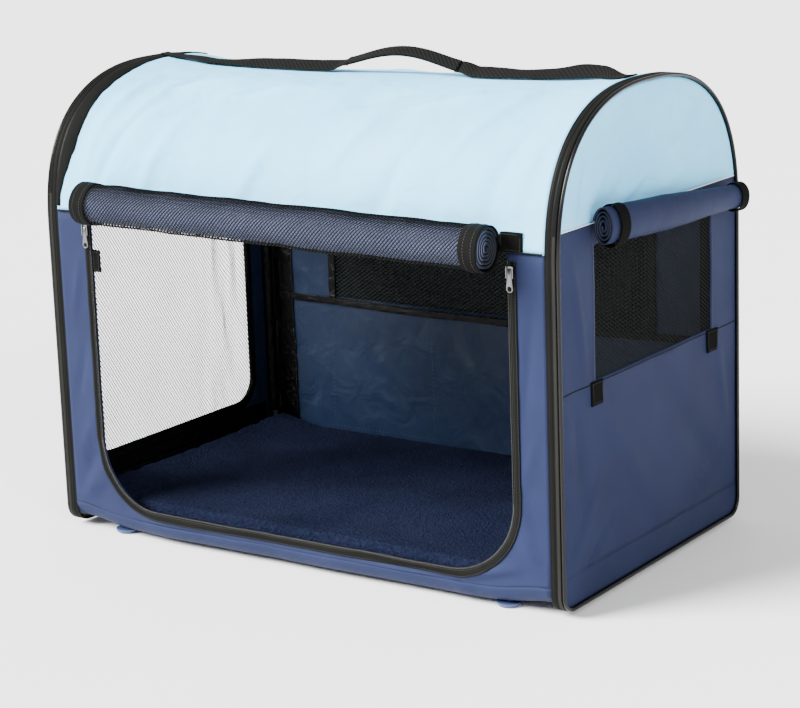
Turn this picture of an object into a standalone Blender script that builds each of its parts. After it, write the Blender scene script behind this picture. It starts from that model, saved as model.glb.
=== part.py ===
"""Soft-sided pet crate on a folding steel frame. Units are metres and +Z is up.

+X runs along the length and the doorway is at -Y. Two arches carry the D-shaped ends. They stand on
pins in the base hoops and fold inwards, one over the other, once the ends are unzipped from the shell.
"""

from math import asin, atan2, copysign, cos, hypot, pi, sin

import bmesh
import bpy
from mathutils import Matrix, Vector

# Overall shape of the shell
LENGTH = 0.800
DEPTH = 0.470
HEIGHT = 0.630
SPRING_HEIGHT = 0.420
ARCH_POWER = 2.5
ARCH_STEPS = 24
SHELL_BOTTOM = 0.006
CORNER_RADIUS = 0.024
CORNER_STEPS = 4
FRONT_SEAM_ABOVE_SPRING = 0.027
END_SEAM_ABOVE_SPRING = 0.052
CLOTH = 0.002
GAP = 0.0003
WELD_DISTANCE = 0.00001
CUTTER_REACH = 0.010
PIPING_DIAMETER = 0.005
ZIP_BAND_WIDTH = 0.0144
PANEL_PROUD = 0.0008

# Frame tubes, hinges and base
TUBE_DIAMETER = 0.012
TUBE_INSET = 0.0115
RAIL_DIAMETER = 0.010
RAIL_INSET = 0.085
PIN_HEIGHT = 0.055
PIN_DIAMETER = 0.004
LEG_BELOW_PIN = 0.005
BRACKET_WALL = 0.0015
BOARD_THICKNESS = 0.004
BOARD_MARGIN = 0.0035
MAT_THICKNESS = 0.0185
MAT_CROWN = 0.0012
MAT_MARGIN = 0.0065
MAT_CUTS = 7
FOOT_INSET_X = 0.092
FOOT_INSET_Y = 0.021
FOOT_RADIUS = 0.016
FOOT_SOLE_RADIUS = 0.011
FOOT_RIM = 0.001
FOOT_STUD_DIAMETER = 0.005

# Doorway, its zip and the rolled door above it
DOORWAY_LEFT_MARGIN = 0.078
DOORWAY_RIGHT_MARGIN = 0.070
DOORWAY_BOTTOM = 0.046
DOORWAY_RADIUS = 0.090
TAPE_WIDTH = 0.012
TAPE_THICKNESS = 0.0012
TAPE_BELOW_SEAM = 0.011
ROLL_RADIUS = 0.028
ROLL_CORE_RADIUS = 0.005
ROLL_TURNS = 4
TURN_STEPS = 16
ROLL_START_ABOVE_SEAM = 0.019
ROLL_END_ABOVE_SEAM = 0.0075
ROLL_SHORT_OF_DOORWAY = 0.005
LAYER_GAP = 0.0006
ROLL_TAB_SIZE = (0.026, 0.022)
ROLL_TAB_X = 0.016

# Left end door and right end window
END_DOOR_SIDE_MARGIN = 0.043
END_DOOR_BOTTOM = 0.072
END_DOOR_BELOW_SEAM = 0.020
END_DOOR_RADIUS = 0.050
BINDING_WIDTH = 0.014
WINDOW_FRONT = -0.145
WINDOW_REAR = 0.159
WINDOW_BOTTOM = 0.279
WINDOW_BELOW_SEAM = 0.027
WINDOW_LAP = 0.008
WINDOW_TAB_SIZE = (0.028, 0.030)
WINDOW_ROLL_FRONT_OVERHANG = 0.015
WINDOW_ROLL_REAR_OVERHANG = 0.046
WINDOW_ROLL_FRONT_RISE = 0.025
WINDOW_ROLL_REAR_RISE = 0.005
WINDOW_ROLL_HALF_HEIGHT = 0.026
WINDOW_ROLL_HALF_DEPTH = 0.019
WINDOW_ROLL_TURNS = 3
ROLL_STRAP_WIDTH = 0.016
ROLL_STRAP_THICKNESS = 0.0015
ROLL_STRAP_INSET = 0.030

# Rear window, its cover and the rear pocket
REAR_WINDOW_HALF_WIDTH = 0.267
REAR_WINDOW_BOTTOM = 0.246
REAR_WINDOW_BELOW_SPRING = 0.005
REAR_WINDOW_RADIUS = 0.015
REAR_FLAP_LAP = 0.018
POCKET_LEFT_MARGIN = 0.123
POCKET_WIDTH = 0.187
POCKET_BOTTOM = 0.042
POCKET_TOP = 0.192
POCKET_DEPTH = 0.012

# Ridge webbing and carry handle
WEBBING_WIDTH = 0.028
WEBBING_THICKNESS = 0.0017
HANDLE_LEFT = -0.057
HANDLE_RIGHT = 0.119
HANDLE_RISE = 0.014
HANDLE_WIDTH = 0.012
HANDLE_THICKNESS = 0.004
HANDLE_POWER = 1.5
HANDLE_STEPS = 14
PAD_LENGTH = 0.024

# Zip sliders and their pulls
SLIDER_WIDTH = 0.010
SLIDER_HEIGHT = 0.014
SLIDER_PLATE = 0.0026
SLIDER_RIB = 0.0013
SLIDER_RIB_DEPTH = 0.0018
PULL_LENGTH = 0.028
PULL_THICKNESS = 0.0014
PULL_HOLE_RADIUS = 0.0018
PULL_SHOULDER = 0.017
PULL_NECK_HALF = 0.002
PULL_STEPS = 8
SLIDER_BELOW_TAPE_TOP = 0.005
END_SLIDER_BOTTOM = 0.062
DOOR_SLIDER_Y = -0.095

# Nets: gaps along and up, with the width of the bars between them
NET_THICKNESS = 0.0012
NET_BAR = 0.0040
NET_RIM = 0.010
LEFT_DOOR_GAPS = (8, 8)
RIGHT_WINDOW_GAPS = (8, 5)
REAR_WINDOW_GAPS = (12, 4)

HALF_LENGTH = LENGTH / 2
HALF_DEPTH = DEPTH / 2

# Places that follow from the shell's size and its seams
FRONT_SEAM_HEIGHT = SPRING_HEIGHT + FRONT_SEAM_ABOVE_SPRING
END_SEAM_HEIGHT = SPRING_HEIGHT + END_SEAM_ABOVE_SPRING
RAIL_Y = HALF_DEPTH - RAIL_INSET
FOOT_X = HALF_LENGTH - FOOT_INSET_X
FOOT_Y = HALF_DEPTH - FOOT_INSET_Y
DOORWAY_LEFT = -HALF_LENGTH + DOORWAY_LEFT_MARGIN
DOORWAY_RIGHT = HALF_LENGTH - DOORWAY_RIGHT_MARGIN
TAPE_TOP = FRONT_SEAM_HEIGHT - TAPE_BELOW_SEAM
ROLL_START = (DOORWAY_LEFT, FRONT_SEAM_HEIGHT + ROLL_START_ABOVE_SEAM)
ROLL_END = (DOORWAY_RIGHT - ROLL_SHORT_OF_DOORWAY, FRONT_SEAM_HEIGHT + ROLL_END_ABOVE_SEAM)
END_DOOR_HALF_WIDTH = HALF_DEPTH - END_DOOR_SIDE_MARGIN
END_DOOR_TOP = END_SEAM_HEIGHT - END_DOOR_BELOW_SEAM
WINDOW_TOP = END_SEAM_HEIGHT - WINDOW_BELOW_SEAM
WINDOW_ROLL_START = (WINDOW_FRONT - WINDOW_ROLL_FRONT_OVERHANG, WINDOW_TOP + WINDOW_ROLL_FRONT_RISE)
WINDOW_ROLL_END = (WINDOW_REAR + WINDOW_ROLL_REAR_OVERHANG, WINDOW_TOP + WINDOW_ROLL_REAR_RISE)
REAR_WINDOW_TOP = SPRING_HEIGHT - REAR_WINDOW_BELOW_SPRING
POCKET_LEFT = -HALF_LENGTH + POCKET_LEFT_MARGIN
POCKET_RIGHT = POCKET_LEFT + POCKET_WIDTH
FRONT_SLIDER_TOP = TAPE_TOP - SLIDER_BELOW_TAPE_TOP


def half_depth_at(height, inset):
    """Half the shell's depth at a height, drawn in by inset."""
    half = HALF_DEPTH - inset
    if height <= SPRING_HEIGHT:
        return half
    share = (height - SPRING_HEIGHT) / (HEIGHT - inset - SPRING_HEIGHT)
    return half * max(0.0, 1 - share**ARCH_POWER) ** (1 / ARCH_POWER)


# Worked out from the sizes above
TUBE_RADIUS = TUBE_DIAMETER / 2
BAND_END = HALF_LENGTH - PIPING_DIAMETER - GAP
BAND_START = BAND_END - ZIP_BAND_WIDTH
WALL_END = BAND_START - GAP
PANEL_INSET = PIPING_DIAMETER + GAP
PANEL_OUTER_X = BAND_END + PANEL_PROUD
PANEL_INNER_X = PANEL_OUTER_X - CLOTH
FRAME_X = PANEL_INNER_X - GAP - TUBE_RADIUS
LEG_Y = HALF_DEPTH - TUBE_INSET
BAR_Z = SHELL_BOTTOM + TUBE_INSET
CORNER_TOP = SHELL_BOTTOM + CORNER_RADIUS
LEG_END_Z = PIN_HEIGHT - LEG_BELOW_PIN
LEG_SWING = hypot(LEG_BELOW_PIN, TUBE_RADIUS)
HOOP_TOP = PIN_HEIGHT - LEG_SWING - GAP
SKIRT_TOP = LEG_END_Z - GAP
BOARD_BOTTOM = BAR_Z + TUBE_RADIUS + GAP
BOARD_TOP = BOARD_BOTTOM + BOARD_THICKNESS
FOOT_TOP = SHELL_BOTTOM - GAP
WALL_OUTER_Y = HALF_DEPTH + GAP
TAPE_FACE_Y = WALL_OUTER_Y + TAPE_THICKNESS
ROLL_Y = -(half_depth_at(ROLL_END[1], 0) + GAP + ROLL_RADIUS)
WINDOW_ROLL_X = (
    PANEL_OUTER_X + 2 * GAP + ROLL_STRAP_THICKNESS + GAP + WINDOW_ROLL_HALF_DEPTH
)
STRAP_BOTTOM = HEIGHT + GAP
STRAP_TOP = STRAP_BOTTOM + WEBBING_THICKNESS
HANDLE_AXIS_Z = STRAP_TOP + GAP + hypot(HANDLE_WIDTH, HANDLE_THICKNESS) / 2
REAR_FLAP_TOP = REAR_WINDOW_TOP + REAR_FLAP_LAP
REAR_FLAP_BOTTOM = REAR_WINDOW_BOTTOM - REAR_FLAP_LAP
PULL_DROP = SLIDER_HEIGHT / 4

# The box's lowest and highest reach in X and Y put the origin under its middle
REACH_LEFT = PANEL_OUTER_X + GAP + SLIDER_PLATE + GAP + PULL_THICKNESS
REACH_RIGHT = WINDOW_ROLL_X + WINDOW_ROLL_HALF_DEPTH + GAP + ROLL_STRAP_THICKNESS
REACH_FRONT = -ROLL_Y + ROLL_RADIUS
REACH_REAR = WALL_OUTER_Y + POCKET_DEPTH
ORIGIN_X = (REACH_RIGHT - max(REACH_LEFT, HALF_LENGTH)) / 2
ORIGIN_Y = (REACH_REAR - REACH_FRONT) / 2

# Where each moving body turns or slides, in the shell's own coordinates
AXES = {
    "carrier": (0, 0, 0),
    "left_end": (-FRAME_X, 0, PIN_HEIGHT),
    "right_end": (FRAME_X, 0, PIN_HEIGHT),
    "left_door": (-PANEL_OUTER_X, 0, END_DOOR_TOP),
    "left_door_slider": (-PANEL_OUTER_X - GAP, DOOR_SLIDER_Y, END_DOOR_BOTTOM),
    "rear_flap": (0, WALL_OUTER_Y + CLOTH / 2, REAR_FLAP_TOP),
    "carry_handle": ((HANDLE_LEFT + HANDLE_RIGHT) / 2, 0, HANDLE_AXIS_Z),
    "front_left_slider": (
        DOORWAY_LEFT - TAPE_WIDTH / 2,
        -TAPE_FACE_Y - GAP,
        FRONT_SLIDER_TOP - SLIDER_HEIGHT / 2,
    ),
    "front_right_slider": (
        DOORWAY_RIGHT + TAPE_WIDTH / 2,
        -TAPE_FACE_Y - GAP,
        FRONT_SLIDER_TOP - SLIDER_HEIGHT / 2,
    ),
    "left_end_slider": (
        -(BAND_START + BAND_END) / 2,
        WALL_OUTER_Y,
        END_SLIDER_BOTTOM + SLIDER_HEIGHT / 2,
    ),
    "right_end_slider": (
        (BAND_START + BAND_END) / 2,
        WALL_OUTER_Y,
        END_SLIDER_BOTTOM + SLIDER_HEIGHT / 2,
    ),
}

# Turn about +Z that points a slider's face out of the wall it runs on
FACING = {
    "left_door_slider": -pi / 2,
    "front_left_slider": 0,
    "front_right_slider": 0,
    "left_end_slider": pi,
    "right_end_slider": pi,
}

# Normal of each drawing plane: +X for YZ, -Y for XZ and +Z for XY
PLANE_TURN = {
    "YZ": (pi / 2, 0, pi / 2),
    "XZ": (pi / 2, 0, 0),
    "XY": (0, 0, 0),
}
PLANE_NORMAL = {"YZ": Vector((1, 0, 0)), "XZ": Vector((0, -1, 0)), "XY": Vector((0, 0, 1))}

MATERIALS = {
    "sky_cloth": ((0.50, 0.72, 0.90), 0.75, 0.0),
    "navy_cloth": ((0.045, 0.075, 0.22), 0.70, 0.0),
    "fleece": ((0.012, 0.022, 0.085), 0.95, 0.0),
    "mesh_black": ((0.012, 0.012, 0.014), 0.60, 0.0),
    "binding_black": ((0.015, 0.015, 0.017), 0.50, 0.0),
    "webbing_black": ((0.020, 0.020, 0.022), 0.80, 0.0),
    "frame_steel": ((0.45, 0.46, 0.48), 0.35, 1.0),
    "bracket_plastic": ((0.02, 0.02, 0.022), 0.45, 0.0),
    "base_board": ((0.10, 0.09, 0.08), 0.85, 0.0),
    "foot_plastic": ((0.06, 0.11, 0.32), 0.40, 0.0),
    "zip_metal": ((0.72, 0.72, 0.74), 0.25, 1.0),
    "roll_mesh": ((0.020, 0.030, 0.080), 0.65, 0.0),
}


def clear_scene():
    for obj in list(bpy.data.objects):
        bpy.data.objects.remove(obj, do_unlink=True)


def make_collection(name):
    collection = bpy.data.collections.new(name)
    bpy.context.scene.collection.children.link(collection)
    return collection


def make_materials():
    for name, (colour, roughness, metallic) in MATERIALS.items():
        material = bpy.data.materials.new(name)
        material.use_nodes = True
        shader = material.node_tree.nodes["Principled BSDF"]
        shader.inputs["Base Color"].default_value = (*colour, 1)
        shader.inputs["Roughness"].default_value = roughness
        shader.inputs["Metallic"].default_value = metallic


def make_axes():
    """An empty on each joint's axis, all under one that sets the object's origin."""
    for name, place in AXES.items():
        empty = bpy.data.objects.new(name + "_axis", None)
        parts.objects.link(empty)
        if name == "carrier":
            empty.location = (-ORIGIN_X, -ORIGIN_Y, 0)
        else:
            empty.parent = bpy.data.objects["carrier_axis"]
            empty.location = place


def attach(obj, body, at, material):
    """Gives the object its material and puts it at a place in the shell's coordinates."""
    obj.data.materials.clear()
    obj.data.materials.append(bpy.data.materials[material])
    obj.parent = bpy.data.objects[body + "_axis"]
    obj.location = Vector(at) - Vector(AXES[body])
    return obj


def link_new(name, data):
    obj = bpy.data.objects.new(name, data)
    parts.objects.link(obj)
    return obj


def slab(name, rings, plane, start, end, body, material):
    """A flat outline with holes, drawn in a plane and filled from start to end across it."""
    curve = bpy.data.curves.new(name, "CURVE")
    curve.dimensions = "2D"
    curve.fill_mode = "BOTH"
    curve.extrude = abs(end - start) / 2
    for ring in rings:
        spline = curve.splines.new("POLY")
        spline.points.add(len(ring) - 1)
        for point, (across, up) in zip(spline.points, ring):
            point.co = (across, up, 0, 1)
        spline.use_cyclic_u = True
    obj = link_new(name, curve)
    obj.rotation_euler = PLANE_TURN[plane]
    normal = PLANE_NORMAL[plane]
    middle = Vector([abs(part) for part in normal]) * (start + end) / 2
    return attach(obj, body, middle, material)


def wire(name, points, radius, body, material, cyclic=False, resolution=2):
    curve = bpy.data.curves.new(name, "CURVE")
    curve.dimensions = "3D"
    curve.bevel_depth = radius
    curve.bevel_resolution = resolution
    curve.use_fill_caps = not cyclic
    spline = curve.splines.new("POLY")
    spline.points.add(len(points) - 1)
    for point, place in zip(spline.points, points):
        point.co = (*place, 1)
    spline.use_cyclic_u = cyclic
    return attach(link_new(name, curve), body, (0, 0, 0), material)


def as_mesh(obj):
    """The same object as a welded mesh, so that it can be cut."""
    bpy.context.view_layer.update()
    graph = bpy.context.evaluated_depsgraph_get()
    mesh = bpy.data.meshes.new_from_object(obj.evaluated_get(graph))
    shape = bmesh.new()
    shape.from_mesh(mesh)
    bmesh.ops.remove_doubles(shape, verts=shape.verts, dist=WELD_DISTANCE)
    bmesh.ops.recalc_face_normals(shape, faces=shape.faces)
    shape.to_mesh(mesh)
    shape.free()
    name, parent = obj.name, obj.parent
    place, turn = obj.location.copy(), obj.rotation_euler.copy()
    bpy.data.objects.remove(obj, do_unlink=True)
    new = link_new(name, mesh)
    new.parent, new.location, new.rotation_euler = parent, place, turn
    return new


def box(name, low, high, body, material):
    """A box between two corners, given in the shell's coordinates."""
    mesh = bpy.data.meshes.new(name)
    shape = bmesh.new()
    size = [top - bottom for bottom, top in zip(low, high)]
    bmesh.ops.create_cube(shape, size=1, matrix=Matrix.Diagonal((*size, 1)))
    shape.to_mesh(mesh)
    shape.free()
    middle = [(bottom + top) / 2 for bottom, top in zip(low, high)]
    return attach(link_new(name, mesh), body, middle, material)


def cylinders(name, places, radius, length, direction, body, material, sides=16):
    """One object of separate cylinders, centred on each place and lying along a direction."""
    mesh = bpy.data.meshes.new(name)
    shape = bmesh.new()
    turn = Vector((0, 0, 1)).rotation_difference(Vector(direction)).to_matrix().to_4x4()
    for place in places:
        bmesh.ops.create_cone(
            shape,
            cap_ends=True,
            segments=sides,
            radius1=radius,
            radius2=radius,
            depth=length,
            matrix=Matrix.Translation(place) @ turn,
        )
    shape.to_mesh(mesh)
    shape.free()
    return attach(link_new(name, mesh), body, (0, 0, 0), material)


def as_cutter(obj):
    obj.hide_render = True
    obj.display_type = "WIRE"
    parts.objects.unlink(obj)
    cutters.objects.link(obj)
    return obj


def cut(obj, *tools):
    for tool in tools:
        modifier = obj.modifiers.new("cut_" + tool.name, "BOOLEAN")
        modifier.operation = "DIFFERENCE"
        modifier.object = tool
    return obj


def soften(obj, width):
    modifier = obj.modifiers.new("rounded_edges", "BEVEL")
    modifier.width = width
    modifier.segments = 2
    return obj


def smooth(obj, angle=40):
    obj.data.shade_smooth()
    obj.data.set_sharp_from_angle(angle=angle * pi / 180)
    return obj


def rectangle(left, right, bottom, top):
    return [(left, bottom), (right, bottom), (right, top), (left, top)]


def rounded_rectangle(left, right, bottom, top, radius, steps=4):
    ring = []
    corners = [
        (right - radius, bottom + radius, -pi / 2),
        (right - radius, top - radius, 0),
        (left + radius, top - radius, pi / 2),
        (left + radius, bottom + radius, pi),
    ]
    for across, up, first in corners:
        for step in range(steps + 1):
            angle = first + pi / 2 * step / steps
            ring.append((across + radius * cos(angle), up + radius * sin(angle)))
    return ring


def u_path(left, right, bottom, top, radius, steps=6):
    """An open path down the left side, round two lower corners and up the right side."""
    path = [(left, top)]
    for centre, first in ((left + radius, pi), (right - radius, 3 * pi / 2)):
        for step in range(steps + 1):
            angle = first + pi / 2 * step / steps
            path.append((centre + radius * cos(angle), bottom + radius + radius * sin(angle)))
    return path + [(right, top)]


def arch_over(inset, low):
    """The outline from the front at height low, up over the ridge and down to the rear, as (y, z)."""
    half = HALF_DEPTH - inset
    rise = HEIGHT - inset - SPRING_HEIGHT
    share = max(0.0, low - SPRING_HEIGHT) / rise
    first = asin(share ** (ARCH_POWER / 2))
    path = []
    if low < SPRING_HEIGHT:
        path.append((-half, low))
    for step in range(ARCH_STEPS + 1):
        angle = first + (pi - 2 * first) * step / ARCH_STEPS
        side, up = cos(angle), sin(angle)
        depth = -copysign(abs(side) ** (2 / ARCH_POWER), side) * half
        path.append((depth, SPRING_HEIGHT + rise * abs(up) ** (2 / ARCH_POWER)))
    if low < SPRING_HEIGHT:
        path.append((half, low))
    return path


def under_path(inset):
    """The outline down the rear corner, under the base and up the front corner, as (y, z)."""
    half, radius = HALF_DEPTH - inset, CORNER_RADIUS - inset
    path = []
    for centre, first in ((half - radius, 0), (-half + radius, -pi / 2)):
        for step in range(CORNER_STEPS + 1):
            angle = first - pi / 2 * step / CORNER_STEPS
            path.append((centre + radius * cos(angle), CORNER_TOP + radius * sin(angle)))
    return path


def d_outline(inset):
    """The whole closed outline of an end."""
    return arch_over(inset, SPRING_HEIGHT) + under_path(inset)


def side_path(inset, low, high, steps=3):
    """Points up one side, as (half depth, height)."""
    heights = [low]
    if low < SPRING_HEIGHT:
        heights.append(min(SPRING_HEIGHT, high))
    if high > SPRING_HEIGHT:
        start = max(low, SPRING_HEIGHT)
        heights += [start + (high - start) * step / steps for step in range(1, steps + 1)]
    return [(half_depth_at(height, inset), height) for height in heights]


def mirrored(path):
    return [(-across, up) for across, up in reversed(path)]


def strip_ring(outer, inner):
    return outer + inner[::-1]


def make_frame():
    """Two hoops under the base, the arch that stands on each, and the hinges between them."""
    tube_corner = CORNER_RADIUS - TUBE_INSET
    hoop = u_path(-LEG_Y, LEG_Y, BAR_Z, HOOP_TOP, tube_corner, CORNER_STEPS)
    arch = arch_over(TUBE_INSET, LEG_END_Z)
    for side, sign in (("left", -1), ("right", 1)):
        base = wire(
            side + "_base_hoop",
            [(sign * FRAME_X, y, z) for y, z in hoop],
            TUBE_RADIUS,
            "carrier",
            "frame_steel",
        )
        smooth(as_mesh(base))
        leg_holes = as_cutter(
            cylinders(
                side + "_leg_holes",
                [(sign * FRAME_X, front * LEG_Y, PIN_HEIGHT) for front in (-1, 1)],
                PIN_DIAMETER / 2 + GAP,
                4 * TUBE_RADIUS,
                (0, 1, 0),
                "carrier",
                "frame_steel",
            )
        )
        tube = wire(
            side + "_arch_tube",
            [(sign * FRAME_X, y, z) for y, z in arch],
            TUBE_RADIUS,
            side + "_end",
            "frame_steel",
        )
        smooth(cut(as_mesh(tube), leg_holes))
        for row, front in (("front", -1), ("rear", 1)):
            make_bracket(f"{side}_{row}_bracket", sign, front, leg_holes)
            cylinders(
                f"{side}_{row}_hinge_pin",
                [(sign * FRAME_X, front * LEG_Y, PIN_HEIGHT)],
                PIN_DIAMETER / 2,
                TUBE_DIAMETER + 2 * (GAP + BRACKET_WALL),
                (0, 1, 0),
                "carrier",
                "frame_steel",
            )


def make_bracket(name, sign, front, leg_holes):
    """A U-shaped bracket: it grips the hoop's leg, and its two ears hold the arch's leg on the pin."""
    inner = TUBE_RADIUS + GAP
    outer = inner + BRACKET_WALL
    ear = TUBE_RADIUS - GAP
    bottom = CORNER_TOP
    steps = 8
    ring = [(-outer, bottom), (ear, bottom), (ear, PIN_HEIGHT)]
    for step in range(1, steps):
        angle = pi * step / steps
        ring.append((ear * cos(angle), PIN_HEIGHT + ear * sin(angle)))
    ring += [(-ear, PIN_HEIGHT), (-ear, HOOP_TOP), (-outer, HOOP_TOP)]
    ring = [(sign * (FRAME_X + along), up) for along, up in ring]
    middle = front * LEG_Y
    block = as_mesh(
        slab(name, [ring], "XZ", middle - outer, middle + outer, "carrier", "bracket_plastic")
    )
    near, far = sorted((sign * (FRAME_X - inner), sign * (FRAME_X + outer)))
    slot = as_cutter(
        box(
            name + "_slot",
            (near, middle - inner, bottom - BRACKET_WALL),
            (far, middle + inner, PIN_HEIGHT + outer),
            "carrier",
            "bracket_plastic",
        )
    )
    return cut(block, slot, leg_holes)


def make_base():
    """Rails between the hoops, the board on them, the lining under it, the mat and the feet."""
    rail_end = FRAME_X - TUBE_RADIUS - GAP
    for row, sign in (("front", -1), ("rear", 1)):
        ends = [(-rail_end, sign * RAIL_Y, BAR_Z), (rail_end, sign * RAIL_Y, BAR_Z)]
        rail = wire(row + "_base_rail", ends, RAIL_DIAMETER / 2, "carrier", "frame_steel")
        smooth(as_mesh(rail))
    feet = [(x, y) for x in (-FOOT_X, FOOT_X) for y in (-FOOT_Y, FOOT_Y)]
    stud_holes = as_cutter(
        cylinders(
            "stud_holes",
            [(x, y, BOARD_BOTTOM) for x, y in feet],
            FOOT_STUD_DIAMETER / 2 + GAP,
            2 * BOARD_TOP,
            (0, 0, 1),
            "carrier",
            "foot_plastic",
        )
    )
    board_x = FRAME_X - TUBE_RADIUS - BOARD_MARGIN
    board_y = HALF_DEPTH - CLOTH - BOARD_MARGIN
    board = slab(
        "base_board",
        [rectangle(-board_x, board_x, -board_y, board_y)],
        "XY",
        BOARD_BOTTOM,
        BOARD_TOP,
        "carrier",
        "base_board",
    )
    cut(as_mesh(board), stud_holes)
    under = slab(
        "bottom_panel",
        [strip_ring(under_path(0), under_path(CLOTH))],
        "YZ",
        -WALL_END,
        WALL_END,
        "carrier",
        "navy_cloth",
    )
    cut(as_mesh(under), stud_holes)
    make_mat(board_x, board_y)
    for name, (x, y) in zip(("left_front", "left_rear", "right_front", "right_rear"), feet):
        make_foot(name + "_foot", x, y)


def make_mat(board_x, board_y):
    """The fleece mat: rounded edges and a top that crowns a little towards the middle."""
    half_x, half_y = board_x - MAT_MARGIN, board_y - MAT_MARGIN / 2
    low = BOARD_TOP + GAP
    mat = box(
        "floor_mat",
        (-half_x, -half_y, low),
        (half_x, half_y, low + MAT_THICKNESS),
        "carrier",
        "fleece",
    )
    shape = bmesh.new()
    shape.from_mesh(mat.data)
    bmesh.ops.subdivide_edges(shape, edges=shape.edges, cuts=MAT_CUTS, use_grid_fill=True)
    for vert in shape.verts:
        along, across = vert.co.x / half_x, vert.co.y / half_y
        crown = (1 - along**4) * (1 - across**4)
        if MAT_THICKNESS / 2 - vert.co.z < WELD_DISTANCE:
            vert.co.z += MAT_CROWN * crown
    shape.to_mesh(mat.data)
    shape.free()
    smooth(soften(mat, MAT_THICKNESS / 4))


def make_foot(name, x, y):
    """A turned dome with a flat sole, and a stud up through the board."""
    stud = FOOT_STUD_DIAMETER / 2
    steps = 4
    profile = [(0, BOARD_TOP), (stud, BOARD_TOP), (stud, FOOT_TOP), (FOOT_RADIUS, FOOT_TOP)]
    for step in range(1, steps + 1):
        angle = pi / 2 * step / steps
        radius = FOOT_SOLE_RADIUS + (FOOT_RADIUS - FOOT_SOLE_RADIUS) * cos(angle)
        profile.append((radius, (FOOT_TOP - FOOT_RIM) * (1 - sin(angle))))
    profile.append((0, 0))
    mesh = bpy.data.meshes.new(name)
    edges = [(index, index + 1) for index in range(len(profile) - 1)]
    mesh.from_pydata([(radius, 0, height) for radius, height in profile], edges, [])
    foot = attach(link_new(name, mesh), "carrier", (x, y, 0), "foot_plastic")
    turn = foot.modifiers.new("turned", "SCREW")
    turn.steps = turn.render_steps = 20
    turn.use_merge_vertices = True
    turn.merge_threshold = WELD_DISTANCE
    smooth(foot)


def make_walls():
    """Front and rear walls, the roof between their top seams and the piped ends of the shell."""
    outer = side_path(0, CORNER_TOP + GAP, FRONT_SEAM_HEIGHT - GAP)
    inner = side_path(CLOTH, CORNER_TOP + GAP, FRONT_SEAM_HEIGHT - GAP)
    rear_ring = strip_ring(outer, inner)
    front_ring = mirrored(rear_ring)
    front = as_mesh(
        slab("front_wall", [front_ring], "YZ", -WALL_END, WALL_END, "carrier", "navy_cloth")
    )
    doorway = rounded_rectangle(
        DOORWAY_LEFT, DOORWAY_RIGHT, DOORWAY_BOTTOM, HEIGHT, DOORWAY_RADIUS, 6
    )
    reach = (-HALF_DEPTH - CUTTER_REACH, -HALF_DEPTH + CUTTER_REACH)
    cut(front, cutter_slab("doorway", doorway, *reach))
    rear = as_mesh(
        slab("rear_wall", [rear_ring], "YZ", -WALL_END, WALL_END, "carrier", "navy_cloth")
    )
    window = rounded_rectangle(
        -REAR_WINDOW_HALF_WIDTH,
        REAR_WINDOW_HALF_WIDTH,
        REAR_WINDOW_BOTTOM,
        REAR_WINDOW_TOP,
        REAR_WINDOW_RADIUS,
    )
    reach = (HALF_DEPTH - CUTTER_REACH, HALF_DEPTH + CUTTER_REACH)
    cut(rear, cutter_slab("rear_window", window, *reach))
    roof_ring = strip_ring(arch_over(0, FRONT_SEAM_HEIGHT), arch_over(CLOTH, FRONT_SEAM_HEIGHT))
    roof = slab("roof", [roof_ring], "YZ", -WALL_END, WALL_END, "carrier", "sky_cloth")
    smooth(as_mesh(roof))
    for side, sign in (("left", -1), ("right", 1)):
        start, end = sorted((sign * BAND_START, sign * BAND_END))
        slab(
            side + "_zip_band",
            [d_outline(0), d_outline(CLOTH)],
            "YZ",
            start,
            end,
            "carrier",
            "binding_black",
        )
        piping_x = sign * (HALF_LENGTH - PIPING_DIAMETER / 2)
        path = [(piping_x, y, z) for y, z in d_outline(PIPING_DIAMETER / 2)]
        wire(
            side + "_piping", path, PIPING_DIAMETER / 2, "carrier", "binding_black", True, 1
        )


def cutter_slab(name, ring, start, end):
    return as_cutter(
        as_mesh(slab(name + "_cutter", [ring], "XZ", start, end, "carrier", "navy_cloth"))
    )


def make_front_door():
    """The U-shaped zip tape round the doorway and the door rolled up above it."""
    inside = u_path(DOORWAY_LEFT, DOORWAY_RIGHT, DOORWAY_BOTTOM, TAPE_TOP, DOORWAY_RADIUS)
    outside = u_path(
        DOORWAY_LEFT - TAPE_WIDTH,
        DOORWAY_RIGHT + TAPE_WIDTH,
        DOORWAY_BOTTOM - TAPE_WIDTH,
        TAPE_TOP,
        DOORWAY_RADIUS + TAPE_WIDTH,
    )
    slab(
        "front_zip_tape",
        [strip_ring(outside, inside)],
        "XZ",
        -TAPE_FACE_Y,
        -WALL_OUTER_Y,
        "carrier",
        "binding_black",
    )
    (left, left_z), (right, right_z) = ROLL_START, ROLL_END
    length = hypot(right - left, right_z - left_z)
    start = Vector((left, ROLL_Y, left_z))
    along = (Vector((right, ROLL_Y, right_z)) - start).normalized()
    tilt = Matrix.Rotation(atan2(left_z - right_z, right - left), 3, "Y")
    section = spiral_ring(ROLL_RADIUS, ROLL_RADIUS, ROLL_CORE_RADIUS, ROLL_TURNS)
    roll = slab("front_door_roll", [section], "YZ", 0, length, "carrier", "roll_mesh")
    place_along(roll, start + along * length / 2, tilt, "YZ")
    smooth(as_mesh(roll))
    width, height = ROLL_TAB_SIZE
    near = right + ROLL_TAB_X
    face = half_depth_at(right_z - height / 2, 0) + GAP
    ring = rectangle(near, near + width, right_z - height / 2, right_z + height / 2)
    slab("front_roll_tab", [ring], "XZ", -face - CLOTH, -face, "carrier", "webbing_black")


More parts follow.
